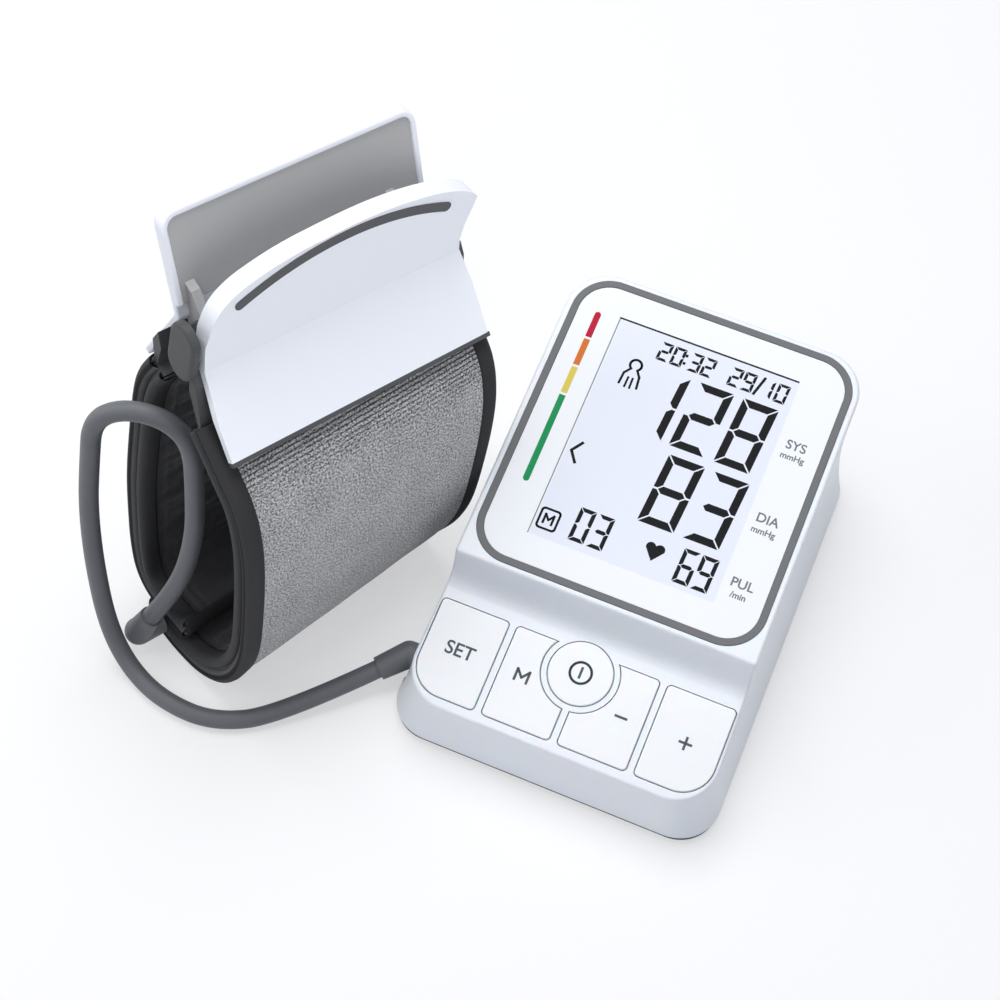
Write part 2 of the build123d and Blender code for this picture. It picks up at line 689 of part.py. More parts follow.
depths = [0.0, cover_thick, cover_thick + frame_thick, cover_thick + frame_thick + bladder_thick]
depths.append(depths[-1] + lining_thick)
layer_names = ["cuff_cover", "jaw_frame", "bladder", "lining"]
cuff_nodes = {}
for side_name, line, inward in (("front", front_line, 1), ("rear", rear_line, -1)):
    for name, shallow, deep in zip(layer_names, depths, depths[1:]):
        cuff_nodes[side_name + "_" + name] = jaw_layer(line, shallow, deep, inward)
    cuff_nodes[side_name + "_binding"] = group(jaw_band(line, inward))


def cuff_prism(points, low, high):
    face = Plane.YZ * make_face(Polyline(*points, close=True))
    return Pos(low, 0, 0) * extrude(face, amount=high - low)


# handle shells
front_low = (7.9, 116.4)
front_crease = (25.2, 137.2)
front_top = (27.0, 178.0)
front_shell_line = [
    front_low, front_crease, front_top,
    (front_top[0] + shell_thick, front_top[1]), (front_crease[0] + shell_thick + 0.1, front_crease[1] - 0.8),
    (front_low[0] + 1.85, front_low[1] - 1.54),
]
left_edge = [
    (shell_left, 100.0), (shell_left, 124.9), (shell_left + 0.9, 131.6), (shell_left + 1.5, front_crease[1]),
    (shell_left + 1.5, 146.6),
]
arch_line = [
    (shell_left + 3.3, 152.2), (shell_left + 5.8, 157.6), (13.4, 161.3), (21.9, 164.8), (31.6, 166.9),
    (44.9, 168.0), (57.0, 168.3), (68.9, 167.5), (83.5, 164.7), (91.6, 161.8), (shell_right - 1.5, 158.2),
]
right_edge = [
    (shell_right, 156.4), (shell_right - 1.3, 152.0), (shell_right - 3.4, 146.6), (shell_right - 4.2, 141.0),
    (shell_right - 3.8, front_crease[1]), (shell_right - 2.7, 128.6), (shell_right - 2.5, 100.0),
]


def shell_prism(inset):
    edge = jaw_side(left_edge + arch_line + right_edge, inset, -1)
    arch_start = len(left_edge) - 1
    arch_end = len(left_edge) + len(arch_line)
    face = make_face([
        Polyline(*edge[:arch_start + 1]), Spline(*edge[arch_start:arch_end]),
        Polyline(*edge[arch_end - 1:]), Line(edge[-1], edge[0]),
    ])
    return extrude(Plane.XZ * face, amount=80, both=True)


front_shell = cuff_prism(front_shell_line, 0, 110) & shell_prism(0)
# deeper lip that runs round the upper plate, tapering out above the crease
lip_line = [
    (front_crease[0] + 0.6, 139.0), (front_top[0] + 0.6, front_top[1]), (front_top[0] + lip_depth, front_top[1]),
    (front_crease[0] + 0.6 + lip_depth, 150.0), (front_crease[0] + shell_thick, 139.0),
]
front_lip = cuff_prism(lip_line, 0, 110) & (shell_prism(0) - shell_prism(lip_width))
front_shell = front_shell + front_lip
front_tilt = math.atan2(front_top[0] - front_crease[0], front_top[1] - front_crease[1])
front_plane = Plane(
    origin=(0, front_crease[0], front_crease[1]),
    x_dir=(1, 0, 0),
    z_dir=(0, -math.cos(front_tilt), math.sin(front_tilt)),
)
insert_arc = ThreePointArc((16.0, 20.4), (52.0, 28.6), (87.0, 21.0))
insert_sketch = SlotArc(insert_arc, 3.2)
insert_cut = extrude(front_plane.offset(-1.0) * insert_sketch, amount=1.3)
front_shell = front_shell - insert_cut
front_insert = insert_cut

rear_low = (57.6, 113.6)
rear_crease = (44.4, 141.0)
rear_top = (57.6, 171.0)
rear_shell_line = [
    rear_low, rear_crease, rear_top,
    (rear_top[0] - shell_thick, rear_top[1] + 0.6), (rear_crease[0] - shell_thick - 0.2, rear_crease[1]),
    (rear_low[0] - 2.1, rear_low[1] - 1.1),
]
rear_slope = Vector(0, rear_top[0] - rear_crease[0], rear_top[1] - rear_crease[1]).normalized()


def rear_spot(along, inward):
    y = rear_crease[0] + rear_slope.Y * along - rear_slope.Z * inward
    z = rear_crease[1] + rear_slope.Z * along + rear_slope.Y * inward
    return (y, z)


def rear_prism(inset):
    width = back_right - back_left - 2 * inset
    outline = Pos((back_left + back_right) / 2, 130) * RectangleRounded(width, 82.0 - 2 * inset, 5.0 - inset)
    return extrude(Plane.XZ * outline, amount=80, both=True)


rear_shell = cuff_prism(rear_shell_line, back_left, back_right) & rear_prism(0)
rim_line = [
    rear_spot(3.2, shell_thick - 0.5), rear_spot(36.0, shell_thick - 0.5),
    rear_spot(36.0, shell_thick + rim_rise), rear_spot(3.2, shell_thick + rim_rise),
]
rear_rim = cuff_prism(rim_line, back_left, back_right) & (rear_prism(0) - rear_prism(rim_width))
rear_shell = rear_shell + rear_rim
panel_line = [
    rear_spot(3.4, shell_thick - 0.2), rear_spot(36.0, shell_thick - 0.2),
    rear_spot(36.0, shell_thick + panel_thick), rear_spot(3.4, shell_thick + panel_thick),
]
rear_panel = cuff_prism(panel_line, back_left, back_right) & rear_prism(rim_width + 0.1)
rear_panel = rear_panel - rear_shell

# dark strip along the skirt's lower edge
edge_line = [
    (front_low[0], front_low[1]), (front_low[0] + 1.85, front_low[1] - 1.54),
    (front_low[0] + 1.0, front_low[1] - 2.6), (front_low[0] - 0.85, front_low[1] - 1.06),
]
edge_strip = cuff_prism(edge_line, shell_left, shell_right - 2.0)

# webs that tie each jaw frame to its shell
front_web_line = [(20.87, 119.41), (22.0, 118.0), (27.4, 129.5), (27.6, 136.0), (24.6, 132.5)]
rear_web_line = [(42.79, 123.86), (43.79, 124.33), (45.3, 133.5), (42.9, 138.5), (41.2, 133.0)]
front_web = jaw_prism(front_web_line)
rear_web = jaw_prism(rear_web_line)

# hinge
left_lug = 8.2
cap_left = 0.6
cap_thick = 2.6
cap_radius = 5.5
hub_radius = 4.6
right_lug = 84.0


def lug(points, low):
    disc = Pos(low + bracket_thick / 2, hinge_y, hinge_z) * Rot(0, 90, 0) * Cylinder(bracket_radius, bracket_thick)
    return cuff_prism(points, low, low + bracket_thick) + disc


front_lug_line = [
    (front_crease[0] + shell_thick + 0.1, 139.0), (front_crease[0] + shell_thick + 0.75, 152.0),
    (31.5, 151.0), (37.0, 143.5), (37.0, 135.0), (30.5, 131.0), (24.0, 132.0),
]
rear_lug_line = [
    (rear_crease[0] - shell_thick - 0.2, 141.0), (46.6, 151.5), (42.0, 150.0), (36.0, 144.0),
    (32.0, 136.0), (38.5, 131.5), (45.5, 133.5),
]
pin_hole = Pos(50, hinge_y, hinge_z) * Rot(0, 90, 0) * Cylinder(pin_radius, 120)
pin_loose = Pos(50, hinge_y, hinge_z) * Rot(0, 90, 0) * Cylinder(pin_radius + pin_clear, 120)
front_hinge_brackets = []
rear_hinge_brackets = []
for low in (left_lug, right_lug):
    way = 1 if low == left_lug else -1
    front_hinge_brackets.append(lug(front_lug_line, low) - pin_hole - front_shell - front_web)
    rear_low_x = low + way * (bracket_thick + bracket_gap)
    rear_hinge_brackets.append(lug(rear_lug_line, rear_low_x) - pin_loose - rear_shell - rear_web - rear_panel)
# rounded cap outside the left bracket, over the pin's end
cap_low = (31.2, 137.6)
cap_high = (30.4, 147.6)
cap_turn = math.degrees(math.atan2(cap_high[1] - cap_low[1], cap_high[0] - cap_low[0]))
cap_middle = ((cap_low[0] + cap_high[0]) / 2, (cap_low[1] + cap_high[1]) / 2)
cap_face = Plane.YZ * Pos(*cap_middle) * Rot(0, 0, cap_turn) * SlotCenterToCenter(
    math.dist(cap_low, cap_high), 2 * cap_radius
)
left_cap = Pos(cap_left, 0, 0) * extrude(cap_face, amount=cap_thick)
left_cap = fillet(left_cap.edges().group_by(Axis.X)[0], 1.0)
hub_middle = (cap_left + cap_thick + left_lug) / 2
left_hub = Pos(hub_middle, hinge_y, hinge_z) * Rot(0, 90, 0) * Cylinder(hub_radius, left_lug - cap_left - cap_thick)
pin_start = cap_left + 1.4
blind_hole = Pos(pin_start + 30, hinge_y, hinge_z) * Rot(0, 90, 0) * Cylinder(pin_radius, 60)
left_end = (left_cap + left_hub) - blind_hole - front_shell - front_web
front_hinge_brackets[0] = front_hinge_brackets[0] + left_end
pin_end = right_lug + bracket_thick + 0.8
hinge_pin = Pos((pin_start + pin_end) / 2, hinge_y, hinge_z) * Rot(0, 90, 0) * Cylinder(pin_radius, pin_end - pin_start)
hinge_pin = hinge_pin + Pos(pin_end + 0.5, hinge_y, hinge_z) * Rot(0, 90, 0) * Cylinder(3.0, 1.0)

clip_springs = []
for middle in (26.0, 68.0):
    coil_line = Helix(pitch=1.7, height=10.2, radius=spring_radius)
    coil = sweep(Plane(origin=coil_line @ 0, z_dir=coil_line % 0) * Circle(spring_wire), path=coil_line)
    turned = Pos(middle - 5.1, hinge_y, hinge_z) * Rot(0, 90, 0) * coil
    clip_springs.append(turned)

# boot where the hose enters the front jaw's lower edge
boot_end = Vector(*hose_end)
boot_way = (Vector(*last_bend) - boot_end).normalized()
boot_knee = boot_end - boot_way * 9.0
boot_face_x = cuff_left - binding_width
boot_root = Pos((boot_face_x + boot_knee.X) / 2, boot_knee.Y, boot_knee.Z - 1.2) * Rot(0, 90, 0) * Cylinder(
    4.6, boot_face_x - boot_knee.X
)
boot_ball = Pos(boot_knee.X, boot_knee.Y, boot_knee.Z - 1.2) * Sphere(4.6)
boot_sleeve = loft([
    Plane(origin=boot_knee - Vector(0, 0, 1.2), z_dir=boot_way) * Circle(4.4),
    Plane(origin=boot_end, z_dir=boot_way) * Circle(3.6),
])
hose_port = boot_root + boot_ball + boot_sleeve

cuff_nodes["front_jaw_frame"] = cuff_nodes["front_jaw_frame"] + front_web - front_shell
cuff_nodes["rear_jaw_frame"] = cuff_nodes["rear_jaw_frame"] + rear_web - rear_shell
cuff_nodes["front_handle_shell"] = front_shell
cuff_nodes["front_grip_insert"] = front_insert
cuff_nodes["edge_strip"] = edge_strip
cuff_nodes["rear_handle_shell"] = rear_shell
cuff_nodes["rear_handle_panel"] = rear_panel
cuff_nodes["front_hinge_brackets"] = group(front_hinge_brackets)
cuff_nodes["rear_hinge_brackets"] = group(rear_hinge_brackets)
cuff_nodes["hinge_pin"] = hinge_pin
cuff_nodes["clip_springs"] = group(clip_springs)
cuff_nodes["hose_port"] = hose_port

# output
for name, key in zip(key_names + ["power_button"], keys):
    save(key, name)
save(top_cover, "top_cover")
save(bottom_cover, "bottom_cover")
save(window_trim, "window_trim")
save(display_window, "display_window")
save(lcd_panel, "lcd_panel")
save(lcd_backlight, "lcd_backlight")
save(lcd_holder, "lcd_holder")
save(main_board, "main_board")
save(key_board, "key_board")
save(group(key_domes), "key_domes")
save(group(board_screws), "board_screws")
save(board_ribbon, "board_ribbon")
save(battery_cover, "battery_cover")
save(group(batteries), "batteries")
save(group(battery_springs), "battery_springs")
save(group(contact_plates), "battery_contacts")
save(group(case_screws), "case_screws")
save(group(feet), "rubber_feet")
save(air_socket, "air_socket")
save(pump_motor, "pump_motor")
save(pump_head, "pump_head")
save(pump_cushion, "pump_cushion")
save(exhaust_valve, "exhaust_valve")
save(air_manifold, "air_manifold")
save(pressure_sensor, "pressure_sensor")
save(group(inner_tubes), "inner_tubes")
save(group(leads), "wire_leads")
save(hose_plug, "hose_plug")
save(air_hose, "air_hose")
for name, shape in cuff_nodes.items():
    save(cuff_place * shape, name)
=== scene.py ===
import json
import math

import bmesh
import bpy
from mathutils import Matrix, Vector, noise

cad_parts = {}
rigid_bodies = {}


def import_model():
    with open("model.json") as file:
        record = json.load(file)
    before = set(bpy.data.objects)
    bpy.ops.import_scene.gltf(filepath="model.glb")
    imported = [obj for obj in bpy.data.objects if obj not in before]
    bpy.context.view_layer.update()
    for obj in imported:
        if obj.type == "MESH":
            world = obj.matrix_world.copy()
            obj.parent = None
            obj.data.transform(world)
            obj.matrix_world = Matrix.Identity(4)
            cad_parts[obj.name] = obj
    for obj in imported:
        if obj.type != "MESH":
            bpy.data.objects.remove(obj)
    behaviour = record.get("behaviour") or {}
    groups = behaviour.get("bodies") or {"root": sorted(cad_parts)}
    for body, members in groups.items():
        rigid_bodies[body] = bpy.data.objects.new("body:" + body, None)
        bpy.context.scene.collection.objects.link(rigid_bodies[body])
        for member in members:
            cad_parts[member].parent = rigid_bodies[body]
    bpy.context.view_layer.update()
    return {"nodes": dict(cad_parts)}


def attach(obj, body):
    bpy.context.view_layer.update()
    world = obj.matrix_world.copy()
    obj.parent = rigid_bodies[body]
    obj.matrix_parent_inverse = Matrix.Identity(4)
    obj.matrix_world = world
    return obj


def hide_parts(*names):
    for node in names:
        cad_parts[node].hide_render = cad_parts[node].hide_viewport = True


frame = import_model()
nodes = frame["nodes"]
deskBody = "monitor_and_front_jaw"
rearBody = "rear_jaw"
mm = 0.001

cameraView = {
    "place": (54.2, -309.5, 571.35),
    "right": (0.923, 0.3821, 0.0456),
    "up": (-0.3498, 0.7839, 0.513),
    "lens": 69.74,
    "sensor": 36.0,
}
lampPlan = {
    "top": {"place": (-0.25, 0.25, 1.1), "size": 0.7, "power": 8.6},
    "front": {"place": (0.1, -0.75, 1.0), "size": 0.7, "power": 1.6},
    "left": {"place": (-0.9, -0.3, 0.6), "size": 0.6, "power": 2.6},
    "cuff": {"place": (0.75, -0.45, 0.5), "size": 0.7, "power": 3.4},
    "skyLevel": 0.33,
}
cuffFrame = {"origin": (-106.6, -91.1, 0.0), "turn": 61.63, "lean": 9.0}
jawShape = {
    "left": 2.0,
    "right": 88.5,
    "shear": 0.08,
    "rightScale": 0.8975,
    "hingeY": 34.0,
    "hingeZ": 139.0,
    "thick": 7.6,
}
jawOutlines = {
    "front": [
        (20.0, 120.5), (13.5, 115.3), (7.4, 110.0), (1.2, 104.6), (-3.6, 96.6), (-7.0, 85.0), (-9.3, 65.8),
        (-10.0, 41.1), (-6.2, 24.0), (1.6, 11.2), (11.6, 3.7), (22.8, 0.8), (32.0, 0.7), (41.0, 2.4),
    ],
    "rear": [
        (45.0, 126.0), (49.2, 117.0), (52.0, 106.0), (53.7, 85.3), (54.4, 61.8), (52.8, 40.0),
        (51.0, 28.0), (48.2, 19.5), (43.6, 14.3), (37.5, 12.0), (30.0, 11.4), (21.0, 12.0),
    ],
}
jawInward = {"front": 1.0, "rear": -1.0}
jawBody = {"front": deskBody, "rear": rearBody}
cuffNames = ("front_", "rear_", "edge_strip", "hinge_pin", "clip_springs", "hose_port")


def hexColour(code):
    channels = [int(code[i:i + 2], 16) / 255 for i in (1, 3, 5)]
    linear = [c / 12.92 if c <= 0.04045 else ((c + 0.055) / 1.055) ** 2.4 for c in channels]
    return (*linear, 1.0)


def cuffMatrix():
    turn = math.radians(cuffFrame["turn"])
    lean = math.radians(cuffFrame["lean"])
    along = Vector((math.cos(lean) * math.cos(turn), math.cos(lean) * math.sin(turn), -math.sin(lean)))
    upward = Vector((math.sin(lean) * math.cos(turn), math.sin(lean) * math.sin(turn), math.cos(lean)))
    matrix = Matrix((along, upward.cross(along), upward)).transposed().to_4x4()
    matrix.translation = Vector(cuffFrame["origin"])
    return matrix


cuffPlace = cuffMatrix()


def cuffPoint(x, y, z):
    return (cuffPlace @ Vector((x, y, z))) * mm


# camera, light and floor
def makeCamera():
    camera = bpy.data.objects.new("photoCamera", bpy.data.cameras.new("photoCamera"))
    bpy.context.scene.collection.objects.link(camera)
    right = Vector(cameraView["right"]).normalized()
    up = Vector(cameraView["up"]).normalized()
    matrix = Matrix((right, up, right.cross(up))).transposed().to_4x4()
    matrix.translation = Vector(cameraView["place"]) * mm
    camera.matrix_world = matrix
    camera.data.lens = cameraView["lens"]
    camera.data.sensor_width = cameraView["sensor"]
    camera.data.clip_start = 0.01
    bpy.context.scene.camera = camera


def makeLight(name, plan):
    lamp = bpy.data.lights.new(name, "AREA")
    lamp.energy = plan["power"]
    lamp.size = plan["size"]
    holder = bpy.data.objects.new(name, lamp)
    bpy.context.scene.collection.objects.link(holder)
    holder.location = plan["place"]
    toward = Vector((-0.03, 0.0, 0.05)) - Vector(plan["place"])
    holder.rotation_euler = toward.to_track_quat("-Z", "Y").to_euler()
    return holder


def seenShare(tree):
    path = tree.nodes.new("ShaderNodeLightPath")
    share = path.outputs["Is Camera Ray"]
    for name in ("Is Glossy Ray", "Is Transmission Ray"):
        either = tree.nodes.new("ShaderNodeMath")
        either.operation = "MAXIMUM"
        tree.links.new(share, either.inputs[0])
        tree.links.new(path.outputs[name], either.inputs[1])
        share = either.outputs["Value"]
    return share


def makeSky():
    world = bpy.data.worlds.new("studio")
    bpy.context.scene.world = world
    world.use_nodes = True
    tree = world.node_tree
    tree.nodes.clear()
    output = tree.nodes.new("ShaderNodeOutputWorld")
    seen = tree.nodes.new("ShaderNodeBackground")
    fill = tree.nodes.new("ShaderNodeBackground")
    seen.inputs["Color"].default_value = hexColour("#ffffff")
    fill.inputs["Color"].default_value = hexColour("#e3ebfa")
    fill.inputs["Strength"].default_value = lampPlan["skyLevel"]
    mix = tree.nodes.new("ShaderNodeMixShader")
    tree.links.new(seenShare(tree), mix.inputs["Fac"])
    tree.links.new(fill.outputs["Background"], mix.inputs[1])
    tree.links.new(seen.outputs["Background"], mix.inputs[2])
    tree.links.new(mix.outputs["Shader"], output.inputs["Surface"])


makeCamera()
for lampName in ("top", "front", "left"):
    makeLight(lampName + "Light", lampPlan[lampName])
cuffLight = makeLight("cuffLight", lampPlan["cuff"])
makeSky()
bpy.context.scene.view_settings.view_transform = "Standard"
print("camera and light ready")


# materials
# the cloth's texture runs over this width, and a wave texture of the other scale repeats once a millimetre
weaveWidth = 92.0
waveOfOneMm = 0.314


def addNode(material, kind, values=None, links=None, **settings):
    node = material.node_tree.nodes.new(kind)
    for name, value in settings.items():
        setattr(node, name, value)
    for socket, value in (values or {}).items():
        node.inputs[socket].default_value = value
    for socket, source in (links or {}).items():
        material.node_tree.links.new(source, node.inputs[socket])
    return node


def startMaterial(name, colour, roughness, **sockets):
    material = bpy.data.materials.new(name)
    material.use_nodes = True
    shader = material.node_tree.nodes["Principled BSDF"]
    shader.inputs["Base Color"].default_value = hexColour(colour)
    shader.inputs["Roughness"].default_value = roughness
    for socket, value in sockets.items():
        shader.inputs[socket.replace("_", " ")].default_value = value
    return material, shader


def link(material, source, target):
    material.node_tree.links.new(source, target)


def mouldedPlastic(name, colour, roughness, grainMm=1.2, grainDepth=0.004, mirror=0.35, glow=0.0):
    # injection moulded ABS: even colour, faint orange peel from the tool, light that spreads a little inside
    material, shader = startMaterial(name, colour, roughness)
    shader.inputs["Specular IOR Level"].default_value = mirror
    shader.inputs["Subsurface Weight"].default_value = glow
    shader.inputs["Subsurface Scale"].default_value = 1.2 * mm
    coords = addNode(material, "ShaderNodeTexCoord")
    grain = addNode(material, "ShaderNodeTexNoise", {
        "Scale": 1000 / grainMm, "Detail": 2.0,
    }, {"Vector": coords.outputs["Object"]})
    bump = addNode(material, "ShaderNodeBump", {
        "Strength": 0.25, "Distance": grainDepth * mm,
    }, {"Height": grain.outputs["Fac"]})
    link(material, bump.outputs["Normal"], shader.inputs["Normal"])
    rough = addNode(material, "ShaderNodeMapRange", {
        "To Min": roughness * 0.92, "To Max": roughness * 1.08,
    }, {"Value": grain.outputs["Fac"]})
    link(material, rough.outputs["Result"], shader.inputs["Roughness"])
    return material


def softRubber(name, colour, roughness=0.55):
    # moulded elastomer: matte, slightly cloudy, fine skin grain
    material, shader = startMaterial(name, colour, roughness)
    shader.inputs["Specular IOR Level"].default_value = 0.35
    coords = addNode(material, "ShaderNodeTexCoord")
    cloud = addNode(
        material, "ShaderNodeTexNoise", {"Scale": 120.0, "Detail": 3.0}, {"Vector": coords.outputs["Object"]}
    )
    mix = addNode(material, "ShaderNodeMix", data_type="RGBA")
    mix.inputs["A"].default_value = hexColour(colour)
    darker = [channel * 0.82 for channel in hexColour(colour)[:3]]
    mix.inputs["B"].default_value = (*darker, 1.0)
    link(material, cloud.outputs["Fac"], mix.inputs["Factor"])
    link(material, mix.outputs["Result"], shader.inputs["Base Color"])
    skin = addNode(
        material, "ShaderNodeTexNoise", {"Scale": 2600.0, "Detail": 2.0}, {"Vector": coords.outputs["Object"]}
    )
    bump = addNode(
        material, "ShaderNodeBump", {"Strength": 0.3, "Distance": 0.01 * mm}, {"Height": skin.outputs["Fac"]}
    )
    link(material, bump.outputs["Normal"], shader.inputs["Normal"])
    return material


def printedInk(name, colour):
    # pad-printed ink: flat colour with a little mottling from the screen
    material, shader = startMaterial(name, colour, 0.45)
    shader.inputs["Specular IOR Level"].default_value = 0.06
    coords = addNode(material, "ShaderNodeTexCoord")
    mottle = addNode(
        material, "ShaderNodeTexNoise", {"Scale": 900.0, "Detail": 1.0}, {"Vector": coords.outputs["Object"]}
    )
    rough = addNode(material, "ShaderNodeMapRange", {
        "To Min": 0.38, "To Max": 0.52,
    }, {"Value": mottle.outputs["Fac"]})
    link(material, rough.outputs["Result"], shader.inputs["Roughness"])
    return material


def brushedMetal(name, colour, roughness=0.35):
    # drawn and plated steel: fine lines, metallic
    material, shader = startMaterial(name, colour, roughness, Metallic=1.0)
    coords = addNode(material, "ShaderNodeTexCoord")
    stretch = addNode(
        material, "ShaderNodeMapping", {"Scale": (3000.0, 300.0, 300.0)}, {"Vector": coords.outputs["Object"]}
    )
    lines = addNode(material, "ShaderNodeTexNoise", {
        "Scale": 1.0, "Detail": 2.0,
    }, {"Vector": stretch.outputs["Vector"]})
    rough = addNode(material, "ShaderNodeMapRange", {
        "To Min": roughness * 0.8, "To Max": roughness * 1.25,
    }, {"Value": lines.outputs["Fac"]})
    link(material, rough.outputs["Result"], shader.inputs["Roughness"])
    return material


def melangeKnit(name):
    # brushed polyester loop cloth: grey melange yarn, seen as salt and pepper, with fine dark rows near the
    # handle that run out sooner at the hose end, and painted shade that darkens it towards the arm's
    # underside
    material, shader = startMaterial(name, "#8d8d8d", 0.9)
    shader.inputs["Specular IOR Level"].default_value = 0.2
    shader.inputs["Sheen Weight"].default_value = 0.25
    coords = addNode(material, "ShaderNodeTexCoord")
    weave = coords.outputs["UV"]
    grain = addNode(material, "ShaderNodeMapping", {"Scale": (1.5, 1.8, 1.0)}, {"Vector": weave})
    pepper = addNode(material, "ShaderNodeTexNoise", {"Scale": 1.0, "Detail": 1.0, "Roughness": 0.7}, {
        "Vector": grain.outputs["Vector"],
    })
    broad = addNode(material, "ShaderNodeTexNoise", {"Scale": 0.1, "Detail": 2.0}, {"Vector": weave})
    dashes = addNode(material, "ShaderNodeMapping", {"Scale": (0.12, 1.0, 1.0)}, {"Vector": weave})
    rows = addNode(
        material, "ShaderNodeTexWave", {"Scale": 0.21, "Distortion": 0.8, "Detail": 2.0, "Detail Scale": 2.0},
        {"Vector": dashes.outputs["Vector"]}, wave_type="BANDS", bands_direction="Y",
    )
    dark = addNode(material, "ShaderNodeMath", {0: 1.0}, {1: rows.outputs["Fac"]}, operation="SUBTRACT")
    thin = addNode(material, "ShaderNodeMath", {1: 2.5}, {0: dark.outputs["Value"]}, operation="POWER")
    split = addNode(material, "ShaderNodeSeparateXYZ", {}, {"Vector": weave})
    widen = addNode(material, "ShaderNodeMath", {1: -0.1}, {
        0: split.outputs["X"], 2: split.outputs["Y"],
    }, operation="MULTIPLY_ADD")
    fade = addNode(material, "ShaderNodeMapRange", {
        "From Min": 12.0, "From Max": 27.0, "To Min": -0.3, "To Max": 0.0,
    }, {"Value": widen.outputs["Value"]})
    groove = addNode(material, "ShaderNodeMath", {}, {
        0: thin.outputs["Value"], 1: fade.outputs["Result"],
    }, operation="MULTIPLY")
    rowed = addNode(material, "ShaderNodeMath", {}, {
        0: pepper.outputs["Fac"], 1: groove.outputs["Value"],
    }, operation="ADD")
    cloud = addNode(material, "ShaderNodeMath", {1: 0.1}, {0: broad.outputs["Fac"]}, operation="MULTIPLY")
    yarn = addNode(material, "ShaderNodeMath", {}, {
        0: rowed.outputs["Value"], 1: cloud.outputs["Value"],
    }, operation="ADD")
    ramp = addNode(material, "ShaderNodeValToRGB", {}, {"Fac": yarn.outputs["Value"]})
    ramp.color_ramp.elements[0].position = 0.36
    ramp.color_ramp.elements[0].color = hexColour("#3c3c3d")
    ramp.color_ramp.elements[1].position = 0.76
    ramp.color_ramp.elements[1].color = hexColour("#d2d2d2")
    # painted shade: the colour falls to 0.55 of itself towards the cloth's lower edge
    paintedUnderShade = addNode(material, "ShaderNodeMapRange", {
        "From Min": 60.0, "From Max": 135.0, "To Min": 1.0, "To Max": 0.55,
    }, {"Value": split.outputs["Y"]})
    shade = addNode(material, "ShaderNodeVectorMath", {}, {
        0: ramp.outputs["Color"], "Scale": paintedUnderShade.outputs["Result"],
    }, operation="SCALE")
    link(material, shade.outputs["Vector"], shader.inputs["Base Color"])
    bump = addNode(material, "ShaderNodeBump", {
        "Strength": 0.3, "Distance": 0.15 * mm,
    }, {"Height": yarn.outputs["Value"]})
    link(material, bump.outputs["Normal"], shader.inputs["Normal"])
    return material


def wovenNylon(name, colour, light, pitchMm=0.55, sheen=0.3):
    # plain woven filament nylon: dark, a soft sheen on the folds, fine crossed threads
    material, shader = startMaterial(name, colour, 0.62)
    shader.inputs["Sheen Weight"].default_value = sheen
    shader.inputs["Specular IOR Level"].default_value = 0.35
    coords = addNode(material, "ShaderNodeTexCoord")
    waveScale = waveOfOneMm / pitchMm
    warp = addNode(
        material, "ShaderNodeTexWave", {"Scale": waveScale}, {"Vector": coords.outputs["UV"]},
        wave_type="BANDS", bands_direction="X",
    )
    weft = addNode(
        material, "ShaderNodeTexWave", {"Scale": waveScale}, {"Vector": coords.outputs["UV"]},
        wave_type="BANDS", bands_direction="Y",
    )
    cloth = addNode(
        material, "ShaderNodeMath", {}, {0: warp.outputs["Fac"], 1: weft.outputs["Fac"]}, operation="MULTIPLY"
    )
    ramp = addNode(material, "ShaderNodeValToRGB", {}, {"Fac": cloth.outputs["Value"]})
    ramp.color_ramp.elements[0].color = hexColour(colour)
    ramp.color_ramp.elements[1].color = hexColour(light)
    link(material, ramp.outputs["Color"], shader.inputs["Base Color"])
    bump = addNode(material, "ShaderNodeBump", {
        "Strength": 0.5, "Distance": 0.12 * mm,
    }, {"Height": cloth.outputs["Value"]})
    link(material, bump.outputs["Normal"], shader.inputs["Normal"])
    return material


def bindingTape(name):
    # folded twill tape over the raw edges: the outer flap, a stitched groove, the piping and the inner flap,
    # with the grooves' shade and the bands' highlights painted in
    material, shader = startMaterial(name, "#2c2c2e", 0.75)
    shader.inputs["Specular IOR Level"].default_value = 0.2
    coords = addNode(material, "ShaderNodeTexCoord")
    split = addNode(material, "ShaderNodeSeparateXYZ", {}, {"Vector": coords.outputs["UV"]})
    across = addNode(material, "ShaderNodeMapRange", {"From Max": weaveWidth}, {"Value": split.outputs["X"]})
    ramp = addNode(material, "ShaderNodeValToRGB", {}, {"Fac": across.outputs["Result"]})
    # the dark greys are the tape's own colour; the near-black stops are painted shade in the grooves, the
    # lighter stops painted highlights on the piping and flaps
    bands = [
        (0.0, "#29292b"), (0.25, "#353537"), (0.28, "#0c0c0d"), (0.33, "#0c0c0d"), (0.36, "#58585a"),
        (0.47, "#4c4c4e"), (0.5, "#0c0c0d"), (0.56, "#101011"), (0.6, "#444446"), (1.0, "#2c2c2e"),
    ]
    while len(ramp.color_ramp.elements) < len(bands):
        ramp.color_ramp.elements.new(0.5)
    for element, (place, colour) in zip(ramp.color_ramp.elements, bands):
        element.position = place
        element.color = hexColour(colour)
    link(material, ramp.outputs["Color"], shader.inputs["Base Color"])
    rib = addNode(material, "ShaderNodeMapping", {"Scale": (0.1, 1.0, 1.0)}, {"Vector": coords.outputs["UV"]})
    twill = addNode(
        material, "ShaderNodeTexWave", {"Scale": 0.5, "Distortion": 0.5}, {"Vector": rib.outputs["Vector"]},
        wave_type="BANDS", bands_direction="DIAGONAL",
    )
    bump = addNode(material, "ShaderNodeBump", {
        "Strength": 0.35, "Distance": 0.08 * mm,
    }, {"Height": twill.outputs["Fac"]})
    link(material, bump.outputs["Normal"], shader.inputs["Normal"])
    return material


